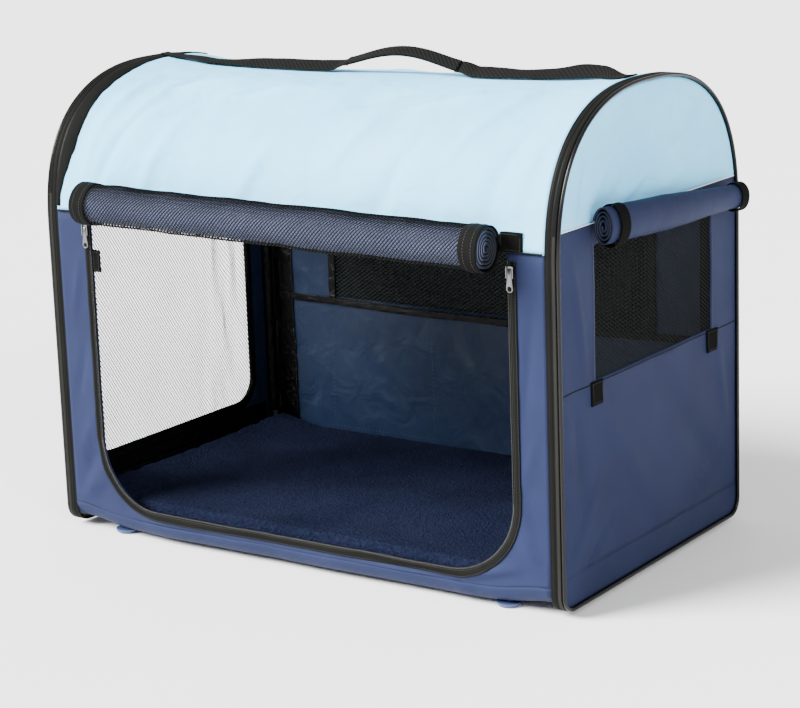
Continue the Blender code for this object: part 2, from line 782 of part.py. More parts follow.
def spiral_ring(half_width, half_height, core, turns):
    """The section of a rolled sheet: one layer wound outwards with a thin space between its turns."""
    pitch = (min(half_width, half_height) - core) / turns
    least = core / 4
    outer, inner = [], []
    for step in range(turns * TURN_STEPS + 1):
        angle = 2 * pi * step / TURN_STEPS
        radius = core + pitch * step / TURN_STEPS
        scale = radius / min(half_width, half_height)
        thinner = (radius - pitch + LAYER_GAP) / min(half_width, half_height)
        outer.append((half_width * scale * cos(angle), half_height * scale * sin(angle)))
        inner.append(
            (
                max(half_width * thinner, least) * cos(angle),
                max(half_height * thinner, least) * sin(angle),
            )
        )
    return strip_ring(outer, inner)


def place_along(piece, place, tilt, plane):
    piece.rotation_euler = (tilt.to_4x4() @ turn_matrix(plane)).to_euler()
    piece.location = place - Vector(AXES[piece.parent.name.removesuffix("_axis")])


def turn_matrix(plane):
    across, side, up = PLANE_TURN[plane]
    return (
        Matrix.Rotation(up, 4, "Z") @ Matrix.Rotation(side, 4, "Y") @ Matrix.Rotation(across, 4, "X")
    )


def make_ends():
    """What both ends have: the skirt at the base, and the sky-blue top of each folding end."""
    for side, sign in (("left", -1), ("right", 1)):
        start, end = sorted((sign * PANEL_INNER_X, sign * PANEL_OUTER_X))
        half = half_depth_at(SKIRT_TOP, PANEL_INSET)
        skirt = [(half, SKIRT_TOP)] + under_path(PANEL_INSET) + [(-half, SKIRT_TOP)]
        slab(side + "_skirt", [skirt], "YZ", start, end, "carrier", "navy_cloth")
        top = arch_over(PANEL_INSET, END_SEAM_HEIGHT)
        slab(side + "_end_top", [top], "YZ", start, end, side + "_end", "sky_cloth")


def end_panel_ring():
    side = side_path(PANEL_INSET, LEG_END_Z, END_SEAM_HEIGHT - GAP)
    return side + mirrored(side)


def make_left_end():
    """The left end: a cloth surround and a net door that hangs from its top edge."""
    opening = door_ring(0)
    slab(
        "left_end_panel",
        [end_panel_ring(), opening],
        "YZ",
        -PANEL_OUTER_X,
        -PANEL_INNER_X,
        "left_end",
        "navy_cloth",
    )
    net_face = -PANEL_INNER_X
    half = END_DOOR_HALF_WIDTH
    net = net_rings(
        door_ring(GAP),
        (-half + NET_RIM, half - NET_RIM, END_DOOR_BOTTOM + NET_RIM, END_DOOR_TOP - NET_RIM),
        LEFT_DOOR_GAPS,
        END_DOOR_RADIUS,
    )
    slab(
        "left_door_net",
        net,
        "YZ",
        net_face - NET_THICKNESS,
        net_face,
        "left_door",
        "mesh_black",
    )
    slab(
        "left_door_binding",
        [door_ring(GAP), door_ring(BINDING_WIDTH)],
        "YZ",
        net_face + GAP,
        net_face + GAP + TAPE_THICKNESS,
        "left_door",
        "binding_black",
    )


def door_ring(inset):
    """The left end's doorway, or what lies inside it by inset."""
    half = END_DOOR_HALF_WIDTH - inset
    radius = END_DOOR_RADIUS - inset
    return u_path(-half, half, END_DOOR_BOTTOM + inset, END_DOOR_TOP - inset, radius)


def net_rings(outline, area, gaps, corner=0.0):
    """An outline with a grid of gaps, without those that its rounded lower corners would reach."""
    left, right, bottom, top = area
    columns, rows = gaps
    wide, tall = (right - left + NET_BAR) / columns, (top - bottom + NET_BAR) / rows
    rings = [outline]
    for row in range(rows):
        for column in range(columns):
            low, start = bottom + row * tall, left + column * wide
            edge = min(start - left, right - (start + wide - NET_BAR))
            if corner and hypot(max(0, corner - edge), max(0, corner - (low - bottom))) > corner:
                continue
            rings.append(
                rectangle(start, start + wide - NET_BAR, low, low + tall - NET_BAR)
            )
    return rings


def make_right_end():
    """The right end: a netted window with its cover rolled up above it."""
    opening = rectangle(WINDOW_FRONT, WINDOW_REAR, WINDOW_BOTTOM, WINDOW_TOP)
    slab(
        "right_end_panel",
        [end_panel_ring(), opening],
        "YZ",
        PANEL_INNER_X,
        PANEL_OUTER_X,
        "right_end",
        "navy_cloth",
    )
    lap = WINDOW_LAP
    rim = rectangle(WINDOW_FRONT - lap, WINDOW_REAR + lap, WINDOW_BOTTOM - lap, WINDOW_TOP + lap)
    slab(
        "right_window_net",
        net_rings(rim, (WINDOW_FRONT, WINDOW_REAR, WINDOW_BOTTOM, WINDOW_TOP), RIGHT_WINDOW_GAPS),
        "YZ",
        PANEL_INNER_X - GAP - NET_THICKNESS,
        PANEL_INNER_X - GAP,
        "right_end",
        "mesh_black",
    )
    width, height = WINDOW_TAB_SIZE
    top = WINDOW_BOTTOM - GAP
    for row, y in (("front", WINDOW_FRONT), ("rear", WINDOW_REAR)):
        slab(
            f"right_window_{row}_tab",
            [rectangle(y - width / 2, y + width / 2, top - height, top)],
            "YZ",
            PANEL_OUTER_X + GAP,
            PANEL_OUTER_X + GAP + CLOTH,
            "right_end",
            "webbing_black",
        )
    make_window_roll()


def make_window_roll():
    (front, front_z), (rear, rear_z) = WINDOW_ROLL_START, WINDOW_ROLL_END
    length = hypot(rear - front, rear_z - front_z)
    start = Vector((WINDOW_ROLL_X, front, front_z))
    along = (Vector((WINDOW_ROLL_X, rear, rear_z)) - start).normalized()
    tilt = Matrix.Rotation(atan2(rear_z - front_z, rear - front), 3, "X")
    section = spiral_ring(
        WINDOW_ROLL_HALF_DEPTH, WINDOW_ROLL_HALF_HEIGHT, ROLL_CORE_RADIUS, WINDOW_ROLL_TURNS
    )
    roll = slab("right_window_roll", [section], "XZ", 0, length, "right_end", "navy_cloth")
    place_along(roll, start + along * length / 2, tilt, "XZ")
    smooth(as_mesh(roll))
    for row, distance in (("front", ROLL_STRAP_INSET), ("rear", length - ROLL_STRAP_INSET)):
        rings = [
            ellipse(WINDOW_ROLL_HALF_DEPTH + grown, WINDOW_ROLL_HALF_HEIGHT + grown)
            for grown in (GAP + ROLL_STRAP_THICKNESS, GAP)
        ]
        name = f"right_roll_{row}_strap"
        strap = slab(name, rings, "XZ", 0, ROLL_STRAP_WIDTH, "right_end", "webbing_black")
        place_along(strap, start + along * distance, tilt, "XZ")


def ellipse(half_width, half_height, steps=32):
    return [
        (half_width * cos(2 * pi * step / steps), half_height * sin(2 * pi * step / steps))
        for step in range(steps)
    ]


def make_rear():
    """The rear window's net, its cover that hangs closed outside, and the open-topped pocket."""
    face = HALF_DEPTH - CLOTH - GAP
    half, lap = REAR_WINDOW_HALF_WIDTH, WINDOW_LAP
    area = (-half, half, REAR_WINDOW_BOTTOM, REAR_WINDOW_TOP)
    rim = rectangle(-half - lap, half + lap, REAR_WINDOW_BOTTOM - lap, REAR_WINDOW_TOP + lap)
    slab(
        "rear_window_net",
        net_rings(rim, area, REAR_WINDOW_GAPS),
        "XZ",
        face - NET_THICKNESS,
        face,
        "carrier",
        "mesh_black",
    )
    flap = rectangle(-half - REAR_FLAP_LAP, half + REAR_FLAP_LAP, REAR_FLAP_BOTTOM, REAR_FLAP_TOP)
    slab("rear_flap", [flap], "XZ", WALL_OUTER_Y, WALL_OUTER_Y + CLOTH, "rear_flap", "navy_cloth")
    pocket = box(
        "rear_pocket",
        (POCKET_LEFT, WALL_OUTER_Y, POCKET_BOTTOM),
        (POCKET_RIGHT, WALL_OUTER_Y + POCKET_DEPTH, POCKET_TOP),
        "carrier",
        "navy_cloth",
    )
    inside = box(
        "pocket_inside",
        (POCKET_LEFT + CLOTH, WALL_OUTER_Y - CLOTH, POCKET_BOTTOM + CLOTH),
        (POCKET_RIGHT - CLOTH, WALL_OUTER_Y + POCKET_DEPTH - CLOTH, POCKET_TOP + CLOTH),
        "carrier",
        "navy_cloth",
    )
    cut(pocket, as_cutter(inside))


def make_ridge():
    """Webbing sewn along the ridge, folded up into a pad at each end of the carry handle."""
    high = HANDLE_AXIS_Z + HANDLE_THICKNESS / 2
    left, right = HANDLE_LEFT - GAP, HANDLE_RIGHT + GAP
    profile = [
        (-WALL_END, STRAP_BOTTOM),
        (WALL_END, STRAP_BOTTOM),
        (WALL_END, STRAP_TOP),
        (right + PAD_LENGTH, STRAP_TOP),
        (right, high),
        (right, STRAP_TOP),
        (left, STRAP_TOP),
        (left, high),
        (left - PAD_LENGTH, STRAP_TOP),
        (-WALL_END, STRAP_TOP),
    ]
    half = WEBBING_WIDTH / 2
    slab("ridge_strap", [profile], "XZ", -half, half, "carrier", "webbing_black")
    top, bottom = [], []
    for step in range(HANDLE_STEPS + 1):
        share = step / HANDLE_STEPS
        x = HANDLE_LEFT + (HANDLE_RIGHT - HANDLE_LEFT) * share
        z = HANDLE_AXIS_Z + HANDLE_RISE * sin(pi * share) ** HANDLE_POWER
        top.append((x, z + HANDLE_THICKNESS / 2))
        bottom.append((x, z - HANDLE_THICKNESS / 2))
    handle = slab(
        "carry_handle",
        [strip_ring(top, bottom)],
        "XZ",
        -HANDLE_WIDTH / 2,
        HANDLE_WIDTH / 2,
        "carry_handle",
        "webbing_black",
    )
    # The outline was drawn in the shell's coordinates, so its object sits back at the shell's origin
    handle.location.x = -AXES["carry_handle"][0]


def make_slider(body):
    """A zip slider, a plate with two ribs, and the pull that hangs between the ribs."""
    half, inner = SLIDER_WIDTH / 2, SLIDER_WIDTH / 2 - SLIDER_RIB
    deep = SLIDER_PLATE + SLIDER_RIB_DEPTH
    section = [
        (-half, 0),
        (-half, -deep),
        (-inner, -deep),
        (-inner, -SLIDER_PLATE),
        (inner, -SLIDER_PLATE),
        (inner, -deep),
        (half, -deep),
        (half, 0),
    ]
    slider = as_mesh(
        slab(body, [section], "XY", -SLIDER_HEIGHT / 2, SLIDER_HEIGHT / 2, body, "zip_metal")
    )
    slider.location = (0, 0, 0)
    slider.rotation_euler.z = FACING[body]
    pull_half = inner - GAP
    hook = PULL_THICKNESS / 2
    outline = [
        (-PULL_NECK_HALF, hook),
        (-pull_half, -PULL_SHOULDER),
        (-pull_half, -PULL_LENGTH + pull_half),
    ]
    for step in range(1, PULL_STEPS):
        angle = pi + pi * step / PULL_STEPS
        outline.append(
            (pull_half * cos(angle), -PULL_LENGTH + pull_half + pull_half * sin(angle))
        )
    outline += [(pull_half, -PULL_LENGTH + pull_half), (pull_half, -PULL_SHOULDER)]
    outline.append((PULL_NECK_HALF, hook))
    hole = [
        (x, z - PULL_LENGTH + pull_half + PULL_HOLE_RADIUS / 2)
        for x, z in ellipse(PULL_HOLE_RADIUS, PULL_HOLE_RADIUS, 12)
    ]
    pull = slab(
        body.replace("slider", "pull"),
        [outline, hole],
        "XZ",
        -PULL_THICKNESS / 2,
        PULL_THICKNESS / 2,
        body,
        "zip_metal",
    )
    hinge = bpy.data.objects.new(body.replace("slider", "pull") + "_axis", None)
    parts.objects.link(hinge)
    hinge.parent = bpy.data.objects[body + "_axis"]
    hinge.rotation_euler.z = FACING[body]
    forward = -(SLIDER_PLATE + GAP + PULL_THICKNESS / 2)
    turn = Matrix.Rotation(FACING[body], 3, "Z")
    hinge.location = turn @ Vector((0, forward, PULL_DROP))
    pull.parent = hinge
    pull.location = (0, 0, 0)


clear_scene()
parts = make_collection("soft_pet_crate")
cutters = make_collection("cutters")
make_materials()
make_axes()
make_frame()
make_base()
make_walls()
make_front_door()
make_ends()
make_left_end()
make_right_end()
make_rear()
make_ridge()
for slider_body in FACING:
    make_slider(slider_body)
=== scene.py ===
# %% [markdown]
# # A soft pet crate, dressed for a photograph
#
# The construction model is already made: every piece at its real size, with its joints. This lesson dresses it.
# Cloth gets its folds, nets their threads, zips their teeth, and every surface a material made from nodes.
# The loaded frame is fixed, so nothing here moves or resizes it.

# %% Load the frame
from contextlib import contextmanager
from math import asin, atan2, copysign, cos, exp, hypot, pi, radians, sin, tanh

import bmesh
import bpy
import numpy as np
from mathutils import Matrix, Vector, noise


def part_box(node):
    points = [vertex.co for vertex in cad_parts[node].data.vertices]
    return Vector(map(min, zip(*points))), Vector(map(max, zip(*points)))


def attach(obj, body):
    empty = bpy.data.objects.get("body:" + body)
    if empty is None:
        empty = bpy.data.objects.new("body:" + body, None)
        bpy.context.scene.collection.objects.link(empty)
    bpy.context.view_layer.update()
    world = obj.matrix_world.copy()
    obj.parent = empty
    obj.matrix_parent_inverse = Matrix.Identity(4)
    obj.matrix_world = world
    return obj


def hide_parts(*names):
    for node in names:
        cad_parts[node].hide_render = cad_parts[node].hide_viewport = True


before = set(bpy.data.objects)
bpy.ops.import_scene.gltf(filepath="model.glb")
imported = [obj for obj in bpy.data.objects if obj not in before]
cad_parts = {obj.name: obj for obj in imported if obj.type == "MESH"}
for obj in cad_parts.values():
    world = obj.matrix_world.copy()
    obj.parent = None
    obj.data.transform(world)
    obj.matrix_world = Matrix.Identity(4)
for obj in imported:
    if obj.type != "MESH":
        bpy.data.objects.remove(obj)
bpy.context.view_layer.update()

# %% [markdown]
# ## Where things are
#
# The cloth shell is drawn about its own middle, which isn't the frame's origin: a roll on one side and a pocket on
# the other push the bounding box off centre. So the places below are in the shell's coordinates, x along the crate,
# y towards the back and z up, and SHELL carries them to the frame. The main sizes come from the frame's own pieces.

# %% Sizes of the shell
left_low, left_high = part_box("left_piping")
right_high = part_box("right_piping")[1]
SHELL = Vector(((left_low.x + right_high.x) / 2, (left_low.y + left_high.y) / 2, 0))
HALF_LENGTH = (right_high.x - left_low.x) / 2
HALF_DEPTH = (left_high.y - left_low.y) / 2
RIDGE, BASE = left_high.z, left_low.z
SPRING = 0.420
ARCH_POWER = 2.5
CORNER = 0.024
CLOTH = 0.002
PIPING = 0.0025
BAND_END = HALF_LENGTH - 0.0053
BAND_START = BAND_END - 0.0144
WALL_END = BAND_START - 0.0003
WALL_BOTTOM = 0.0303
PANEL_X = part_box("right_end_panel")[1].x - SHELL.x
PANEL_INSET = 0.0053
FRONT_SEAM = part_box("roof")[0].z
END_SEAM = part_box("right_end_top")[0].z
SEAM_GAP = 0.0003
SIDES = (("left", -1), ("right", 1))
print(f"shell: {2 * HALF_LENGTH:.3f} long, {2 * HALF_DEPTH:.3f} deep, {RIDGE:.3f} high")


# %% Even steps, and the arched outline
def steps_between(start, end, count):
    return [start + (end - start) * step / count for step in range(count + 1)]


def eased(share):
    share = min(1.0, max(0.0, share))
    return share * share * (3 - 2 * share)


def half_depth(height, inset=0.0):
    """Half the depth of the shell at a height: straight walls, then a superellipse over the top."""
    half = HALF_DEPTH - inset
    if height <= SPRING:
        return half
    share = min(1.0, (height - SPRING) / (RIDGE - inset - SPRING))
    return half * (1 - share**ARCH_POWER) ** (1 / ARCH_POWER)


def arch(inset, low, steps):
    """Points (y, z) from the front at height low, over the ridge, to the back."""
    half, rise = HALF_DEPTH - inset, RIDGE - inset - SPRING
    first = asin((max(0.0, low - SPRING) / rise) ** (ARCH_POWER / 2))
    path = []
    for angle in steps_between(first, pi - first, steps):
        side, up = cos(angle), sin(angle)
        depth = -copysign(abs(side) ** (2 / ARCH_POWER), side) * half
        path.append((depth, SPRING + rise * abs(up) ** (2 / ARCH_POWER)))
    return path


def corner(inset, sign, steps=6):
    """Points round a lower corner, from the wall down to the base. Sign is -1 at the front."""
    radius, centre = CORNER - inset, HALF_DEPTH - CORNER
    return [(sign * (centre + radius * cos(turn)), BASE + CORNER - radius * sin(turn))
            for turn in steps_between(0, pi / 2, steps)]


def d_path(inset):
    """The whole closed outline of an end, from the front wall's top round over the roof."""
    side = half_depth(SPRING, inset)
    rear_wall = [(side, z) for z in steps_between(SPRING, BASE + CORNER, 16)[1:-1]]
    front_wall = [(-y, z) for y, z in reversed(rear_wall)]
    return arch(inset, SPRING, 96) + rear_wall + corner(inset, 1) + corner(inset, -1)[::-1] + front_wall


# %% [markdown]
# ## Helpers that make meshes
#
# Cloth is a grid of points. Its UV map is in metres along the cloth, so a weave keeps its real size wherever the
# cloth bends, and no texture ever stretches. A swept section makes the zip bands and piping.

# %% Objects from points
def placed(name, data):
    """A new object in the scene."""
    obj = bpy.data.objects.new(name, data)
    bpy.context.scene.collection.objects.link(obj)
    return obj


def piece(name, mesh, body, slot, *stands_for):
    """Gives a finished mesh its object and its body, and hides the CAD nodes that it stands for. Slot is not used."""
    obj = placed(name, mesh)
    mesh.shade_smooth()
    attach(obj, body)
    if stands_for:
        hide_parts(*stands_for)
    return obj


@contextmanager
def edited(mesh):
    """Opens a mesh for editing, and writes it back at the end."""
    shape = bmesh.new()
    shape.from_mesh(mesh)
    yield shape
    shape.to_mesh(mesh)
    shape.free()


def lengths(points):
    """Distance travelled along a row of points."""
    steps = np.linalg.norm(np.diff(points, axis=0), axis=1)
    return np.concatenate([[0], np.cumsum(steps)])


def grid(firsts, seconds, place):
    """Rows of points: a row for each first value, with a point for each second value."""
    return [[place(first, second) for second in seconds] for first in firsts]


def grid_mesh(name, rows, materials, closed=False, bands=None):
    """Quads between rows of points, given in the shell's coordinates. bands names a material for each row of quads."""
    points = np.array(rows, float)
    count, across = points.shape[:2]
    middle = points[count // 2]
    u = lengths(np.vstack([middle, middle[:1]]) if closed else middle)
    v = lengths(points[:, across // 2])
    faces, uvs, slots = [], [], []
    for row in range(count - 1):
        for column in range(across if closed else across - 1):
            beside = (column + 1) % across
            corners = [(row, column, column), (row, beside, column + 1),
                       (row + 1, beside, column + 1), (row + 1, column, column)]
            faces.append([r * across + c for r, c, place in corners])
            uvs += [(u[place], v[r]) for r, c, place in corners]
            slots.append(bands[row] if bands else 0)
    mesh = bpy.data.meshes.new(name)
    mesh.from_pydata((points.reshape(-1, 3) + np.array(SHELL)).tolist(), [], faces)
    mesh.uv_layers.new(name="cloth").data.foreach_set("uv", np.array(uvs, np.float32).ravel())
    for material in materials:
        mesh.materials.append(material)
    mesh.polygons.foreach_set("material_index", slots)
    with edited(mesh) as shape:
        bmesh.ops.remove_doubles(shape, verts=shape.verts, dist=0.00002)
        bmesh.ops.recalc_face_normals(shape, faces=shape.faces)
    return mesh


def flat_uv(mesh, across, up):
    """A UV map in metres straight from two coordinates, for panels that are nearly flat."""
    places = np.empty(len(mesh.vertices) * 3, np.float32)
    mesh.vertices.foreach_get("co", places)
    corners = np.empty(len(mesh.loops), np.int32)
    mesh.loops.foreach_get("vertex_index", corners)
    uv = places.reshape(-1, 3)[corners][:, [across, up]]
    mesh.uv_layers["cloth"].data.foreach_set("uv", uv.ravel())


def thicken(obj, thickness, inside=0, grow=-1):
    """Gives cloth its thickness, with another material on its inner face."""
    wall = obj.modifiers.new("thickness", "SOLIDIFY")
    wall.thickness = thickness
    wall.offset = grow
    wall.use_even_offset = True
    wall.material_offset = inside
    return obj


def turned(mesh, away):
    """Turns an open sheet over where its faces look against away, which gives a direction at each place."""
    with edited(mesh) as shape:
        if sum(face.normal.dot(away(face.calc_center_median())) * face.calc_area() for face in shape.faces) < 0:
            bmesh.ops.reverse_faces(shape, faces=shape.faces)
    return mesh


def facing(mesh, direction):
    return turned(mesh, lambda place: Vector(direction))


def sheet(name, rows, materials, outwards, body, slot, *stands_for, thick=CLOTH, grow=-1, closed=False, flat=None):
    """Thick cloth from rows of points. flat names the two axes of a straight UV map."""
    mesh = grid_mesh(name, rows, materials, closed)
    if flat:
        flat_uv(mesh, *flat)
    inside = 1 if len(materials) > 1 else 0
    return thicken(piece(name, facing(mesh, outwards), body, slot, *stands_for), thick, inside, grow)


def close_ends(mesh):
    """Fills the open ends of a swept section."""
    with edited(mesh) as shape:
        bmesh.ops.holes_fill(shape, edges=[edge for edge in shape.edges if edge.is_boundary], sides=40)
        bmesh.ops.recalc_face_normals(shape, faces=shape.faces)
    return mesh


def sweep(name, outline, section, materials, bands=None):
    """A closed section (x, out) carried round a closed outline (y, z)."""
    path, along = [Vector((0, y, z)) for y, z in outline], Vector((1, 0, 0))
    section = section + section[:1]
    rows = [[] for place in section]
    for index, point in enumerate(path):
        out = along.cross((path[(index + 1) % len(path)] - path[index - 1]).normalized())
        for row, (x, outwards) in zip(rows, section):
            row.append(point + along * x + out * outwards)
    return grid_mesh(name, rows, materials, True, bands)


# %% [markdown]
# ## Helpers that grow repeats with Geometry Nodes
#
# Threads, stitches and zip teeth all follow lines. One tree turns lines into round threads. Another sets small
# blocks along a line at a steady pitch, which makes both stitches and teeth. The lines are edges of a plain mesh.

# %% Trees that follow lines
def link(tree, *pairs):
    for source, target in pairs:
        tree.links.new(source, target)


def make_tree(name, inputs, kinds, settings, route):
    """A geometry tree from its inputs, its nodes' kinds and settings, and a route of links.

    A link is a pair of node.socket names. Settings come before the links, since they decide which sockets a node has.
    """
    tree = bpy.data.node_groups.new(name, "GeometryNodeTree")
    for label, kind in {"Lines": "Geometry", **inputs, "Material": "Material"}.items():
        tree.interface.new_socket(label, in_out="INPUT", socket_type="NodeSocket" + kind)
    tree.interface.new_socket("Geometry", in_out="OUTPUT", socket_type="NodeSocketGeometry")
    kinds = {"given": "NodeGroupInput", "curve": "GeometryNodeMeshToCurve", **kinds,
             "real": "GeometryNodeRealizeInstances", "paint": "GeometryNodeSetMaterial", "made": "NodeGroupOutput"}
    nodes = {key: tree.nodes.new(kind) for key, kind in kinds.items()}
    for key, label, value in settings:
        setattr(nodes[key], label, value)
    ends =[("given.Lines", "curve.Mesh"), ("real.Geometry", "paint.Geometry"), ("given.Material", "paint.Material"),
            ("paint.Geometry", "made.Geometry")]
    for source, target in route + ends:
        (from_node, from_socket), (to_node, to_socket) = source.split("."), target.split(".")
        tree.links.new(nodes[from_node].outputs[from_socket], nodes[to_node].inputs[to_socket])
    return tree, nodes


def thread_tree():
    tree, nodes = make_tree(
        "threads", {"Radius": "Float", "Sides": "Int"},
        {"section": "GeometryNodeCurvePrimitiveCircle", "sweep": "GeometryNodeCurveToMesh"}, [],
        [("given.Radius", "section.Radius"), ("given.Sides", "section.Resolution"), ("curve.Curve", "sweep.Curve"),
         ("section.Curve", "sweep.Profile Curve"), ("sweep.Mesh", "real.Geometry")],
    )
    nodes["sweep"].inputs["Fill Caps"].default_value = True
    return tree


def bead_tree():
    tree, nodes = make_tree(
        "beads", {"Pitch": "Float", "Size": "Vector", "Across": "Vector"},
        {"spread": "GeometryNodeResampleCurve", "tangent": "GeometryNodeInputTangent",
         "turn": "FunctionNodeAlignRotationToVector", "level": "FunctionNodeAlignRotationToVector",
         "bead": "GeometryNodeMeshIcoSphere", "place": "GeometryNodeInstanceOnPoints"},
        [("spread", "mode", "LENGTH"), ("turn", "axis", "X"), ("level", "axis", "Y"), ("level", "pivot_axis", "X")],
        [("curve.Curve", "spread.Curve"), ("given.Pitch", "spread.Length"), ("tangent.Tangent", "turn.Vector"),
         ("turn.Rotation", "level.Rotation"), ("given.Across", "level.Vector"), ("spread.Curve", "place.Points"),
         ("bead.Mesh", "place.Instance"), ("level.Rotation", "place.Rotation"), ("given.Size", "place.Scale"),
         ("place.Instances", "real.Geometry")],
    )
    nodes["bead"].inputs["Radius"].default_value = 0.5
    nodes["bead"].inputs["Subdivisions"].default_value = 2
    return tree


THREADS, BEADS = thread_tree(), bead_tree()


def grow(name, lines, closed, tree, **values):
    """Runs a tree on lines, given in the shell's coordinates, and returns what it makes as a plain mesh."""
    verts, edges = [], []
    for line in lines:
        start, end = len(verts), len(verts) + len(line) - 1
        verts += [tuple(Vector(point) + SHELL) for point in line]
        edges += [(k, k + 1) for k in range(start, end)] + ([(end, start)] if closed else [])
    mesh = bpy.data.meshes.new(name)
    mesh.from_pydata(verts, edges, [])
    guide = placed(name + "_guide", mesh)
    modifier = guide.modifiers.new(tree.name, "NODES")
    modifier.node_group = tree
    names = {item.name: item.identifier for item in tree.interface.items_tree if item.in_out == "INPUT"}
    for label, value in values.items():
        modifier[names[label]] = value
    made = modified_mesh(guide)
    bpy.data.objects.remove(guide)
    made.name = name
    if not made.materials:
        made.materials.append(values["Material"])
    return made


def modified_mesh(obj):
    """A plain mesh of what an object's modifiers make."""
    bpy.context.view_layer.update()
    return bpy.data.meshes.new_from_object(obj.evaluated_get(bpy.context.evaluated_depsgraph_get()))


def thread_mesh(name, lines, radius, material, sides=3):
    return grow(name, lines, False, THREADS, Radius=radius, Sides=sides, Material=material)


def threads(name, lines, radius, material, sides, body, slot):
    return piece(name, thread_mesh(name, lines, radius, material, sides), body, slot)


def beads(name, lines, pitch, size, across, material, body, slot="binding_black", closed=False):
    """Rows of stitches or of zip teeth."""
    mesh = grow(name, lines, closed, BEADS, Pitch=pitch, Size=size, Across=across, Material=material)
    return piece(name, mesh, body, slot)


# %% [markdown]
# ## Materials
#
# All the cloth is polyester, so it shares one recipe: a plain weave from two sets of bands at right angles, a slow
# change of colour, and soft creases in the bump. Only its numbers differ from cloth to cloth, and a few cloths add a
# little sheen or coat. Tapes and webbing are the same recipe with ribs in place of the weave.

# %% Node helpers
def blank(name, roughness, **sockets):
    """A new material with its shader, and the values that are the same all over it."""
    material = bpy.data.materials.new(name)
    material.use_nodes = True
    shader = material.node_tree.nodes["Principled BSDF"]
    shader.inputs["Roughness"].default_value = roughness
    for label, value in sockets.items():
        shader.inputs[label.replace("_", " ")].default_value = value
    return material, material.node_tree, shader


def add(tree, kind, values=None, **settings):
    node = tree.nodes.new(kind)
    for label, value in settings.items():
        setattr(node, label, value)
    for label, value in (values or {}).items():
        node.inputs[label].default_value = value
    return node


def noises(tree, *recipes):
    """Textures that lie in the object's own space, each from its kind and its values."""
    place = add(tree, "ShaderNodeTexCoord").outputs["Object"]
    made = [add(tree, kind, values) for kind, values in recipes]
    for texture in made:
        tree.links.new(place, texture.inputs["Vector"])
    return made


def bands(tree, source, direction, pitch):
    """Wave bands at a real pitch. A wave texture at scale 1 repeats every 0.314 units."""
    wave = add(tree, "ShaderNodeTexWave", {"Scale": 0.314 / pitch}, bands_direction=direction)
    tree.links.new(source, wave.inputs["Vector"])
    return wave.outputs["Fac"]


def mix_height(tree, parts):
    """Adds up heights, each with its own share."""
    total = None
    for source, share in parts:
        part = add(tree, "ShaderNodeMath", operation="MULTIPLY")
        part.inputs[1].default_value = share
        tree.links.new(source, part.inputs[0])
        if total is not None:
            both = add(tree, "ShaderNodeMath", operation="ADD")
            link(tree, (total, both.inputs[0]), (part.outputs[0], both.inputs[1]))
            part = both
        total = part.outputs[0]
    return total


def paint(tree, shader, tone, colours, span, height, strength, distance):
    """Sends a tone through a ramp to the colour, and a height through a bump to the normal."""
    ramp = add(tree, "ShaderNodeValToRGB")
    for element, position, colour in zip(ramp.color_ramp.elements, span, colours):
        element.position, element.color = position, (*colour, 1)
    bump = add(tree, "ShaderNodeBump", {"Strength": strength, "Distance": distance})
    link(tree, (tone, ramp.inputs["Fac"]), (ramp.outputs["Color"], shader.inputs["Base Color"]),
         (height, bump.inputs["Height"]), (bump.outputs["Normal"], shader.inputs["Normal"]))


def woven(name, dark, light, roughness, weave=0.0011, ribs=None, crease=0.25, crease_size=0.05,
          relief=0.0004, sheen=0.0, coat=0.0, gloss=0.3):
    """Cloth or tape. ribs is (direction, pitch) for a tape, whose ribs take the weave's place."""
    material, tree, shader = blank(name, roughness, Sheen_Weight=sheen, Sheen_Roughness=0.4,
                                   Coat_Weight=coat, Coat_Roughness=0.15, Specular_IOR_Level=gloss)
    uv = add(tree, "ShaderNodeUVMap", uv_map="cloth").outputs["UV"]
    slow, fine, folds = noises(
        tree,
        ("ShaderNodeTexNoise", {"Scale": 9.0, "Detail": 3.0, "Roughness": 0.55}),
        ("ShaderNodeTexNoise", {"Scale": 900.0, "Detail": 1.0}),
        ("ShaderNodeTexNoise", {"Scale": 1 / crease_size, "Detail": 2.5, "Roughness": 0.45, "Distortion": 0.6}),
    )
    sets = [(*ribs, 1.0)] if ribs else [("X", weave, 0.5), ("Y", weave, 0.5)]
    pattern = mix_height(tree, [(bands(tree, uv, direction, pitch), share) for direction, pitch, share in sets])
    tone = mix_height(tree, [(slow.outputs["Fac"], 0.75), (fine.outputs["Fac"], 0.25), (pattern, 0.22)])
    height = mix_height(tree, [(pattern, 1.0), (folds.outputs["Fac"], crease * 12)])
    paint(tree, shader, tone, (dark, light), (0.35, 0.85), height, 0.6, relief)
    return material


def solid(name, dark, light, roughness, grain=400.0, relief=0.0001, **sockets):
    """Moulded plastic, metal or thread: a fine grain in colour and bump."""
    material, tree, shader = blank(name, roughness, **sockets)
    (speck,) = noises(tree, ("ShaderNodeTexNoise", {"Scale": grain, "Detail": 4.0}))
    paint(tree, shader, speck.outputs["Fac"], (dark, light), (0, 1), speck.outputs["Fac"], 0.4, relief)
    return material


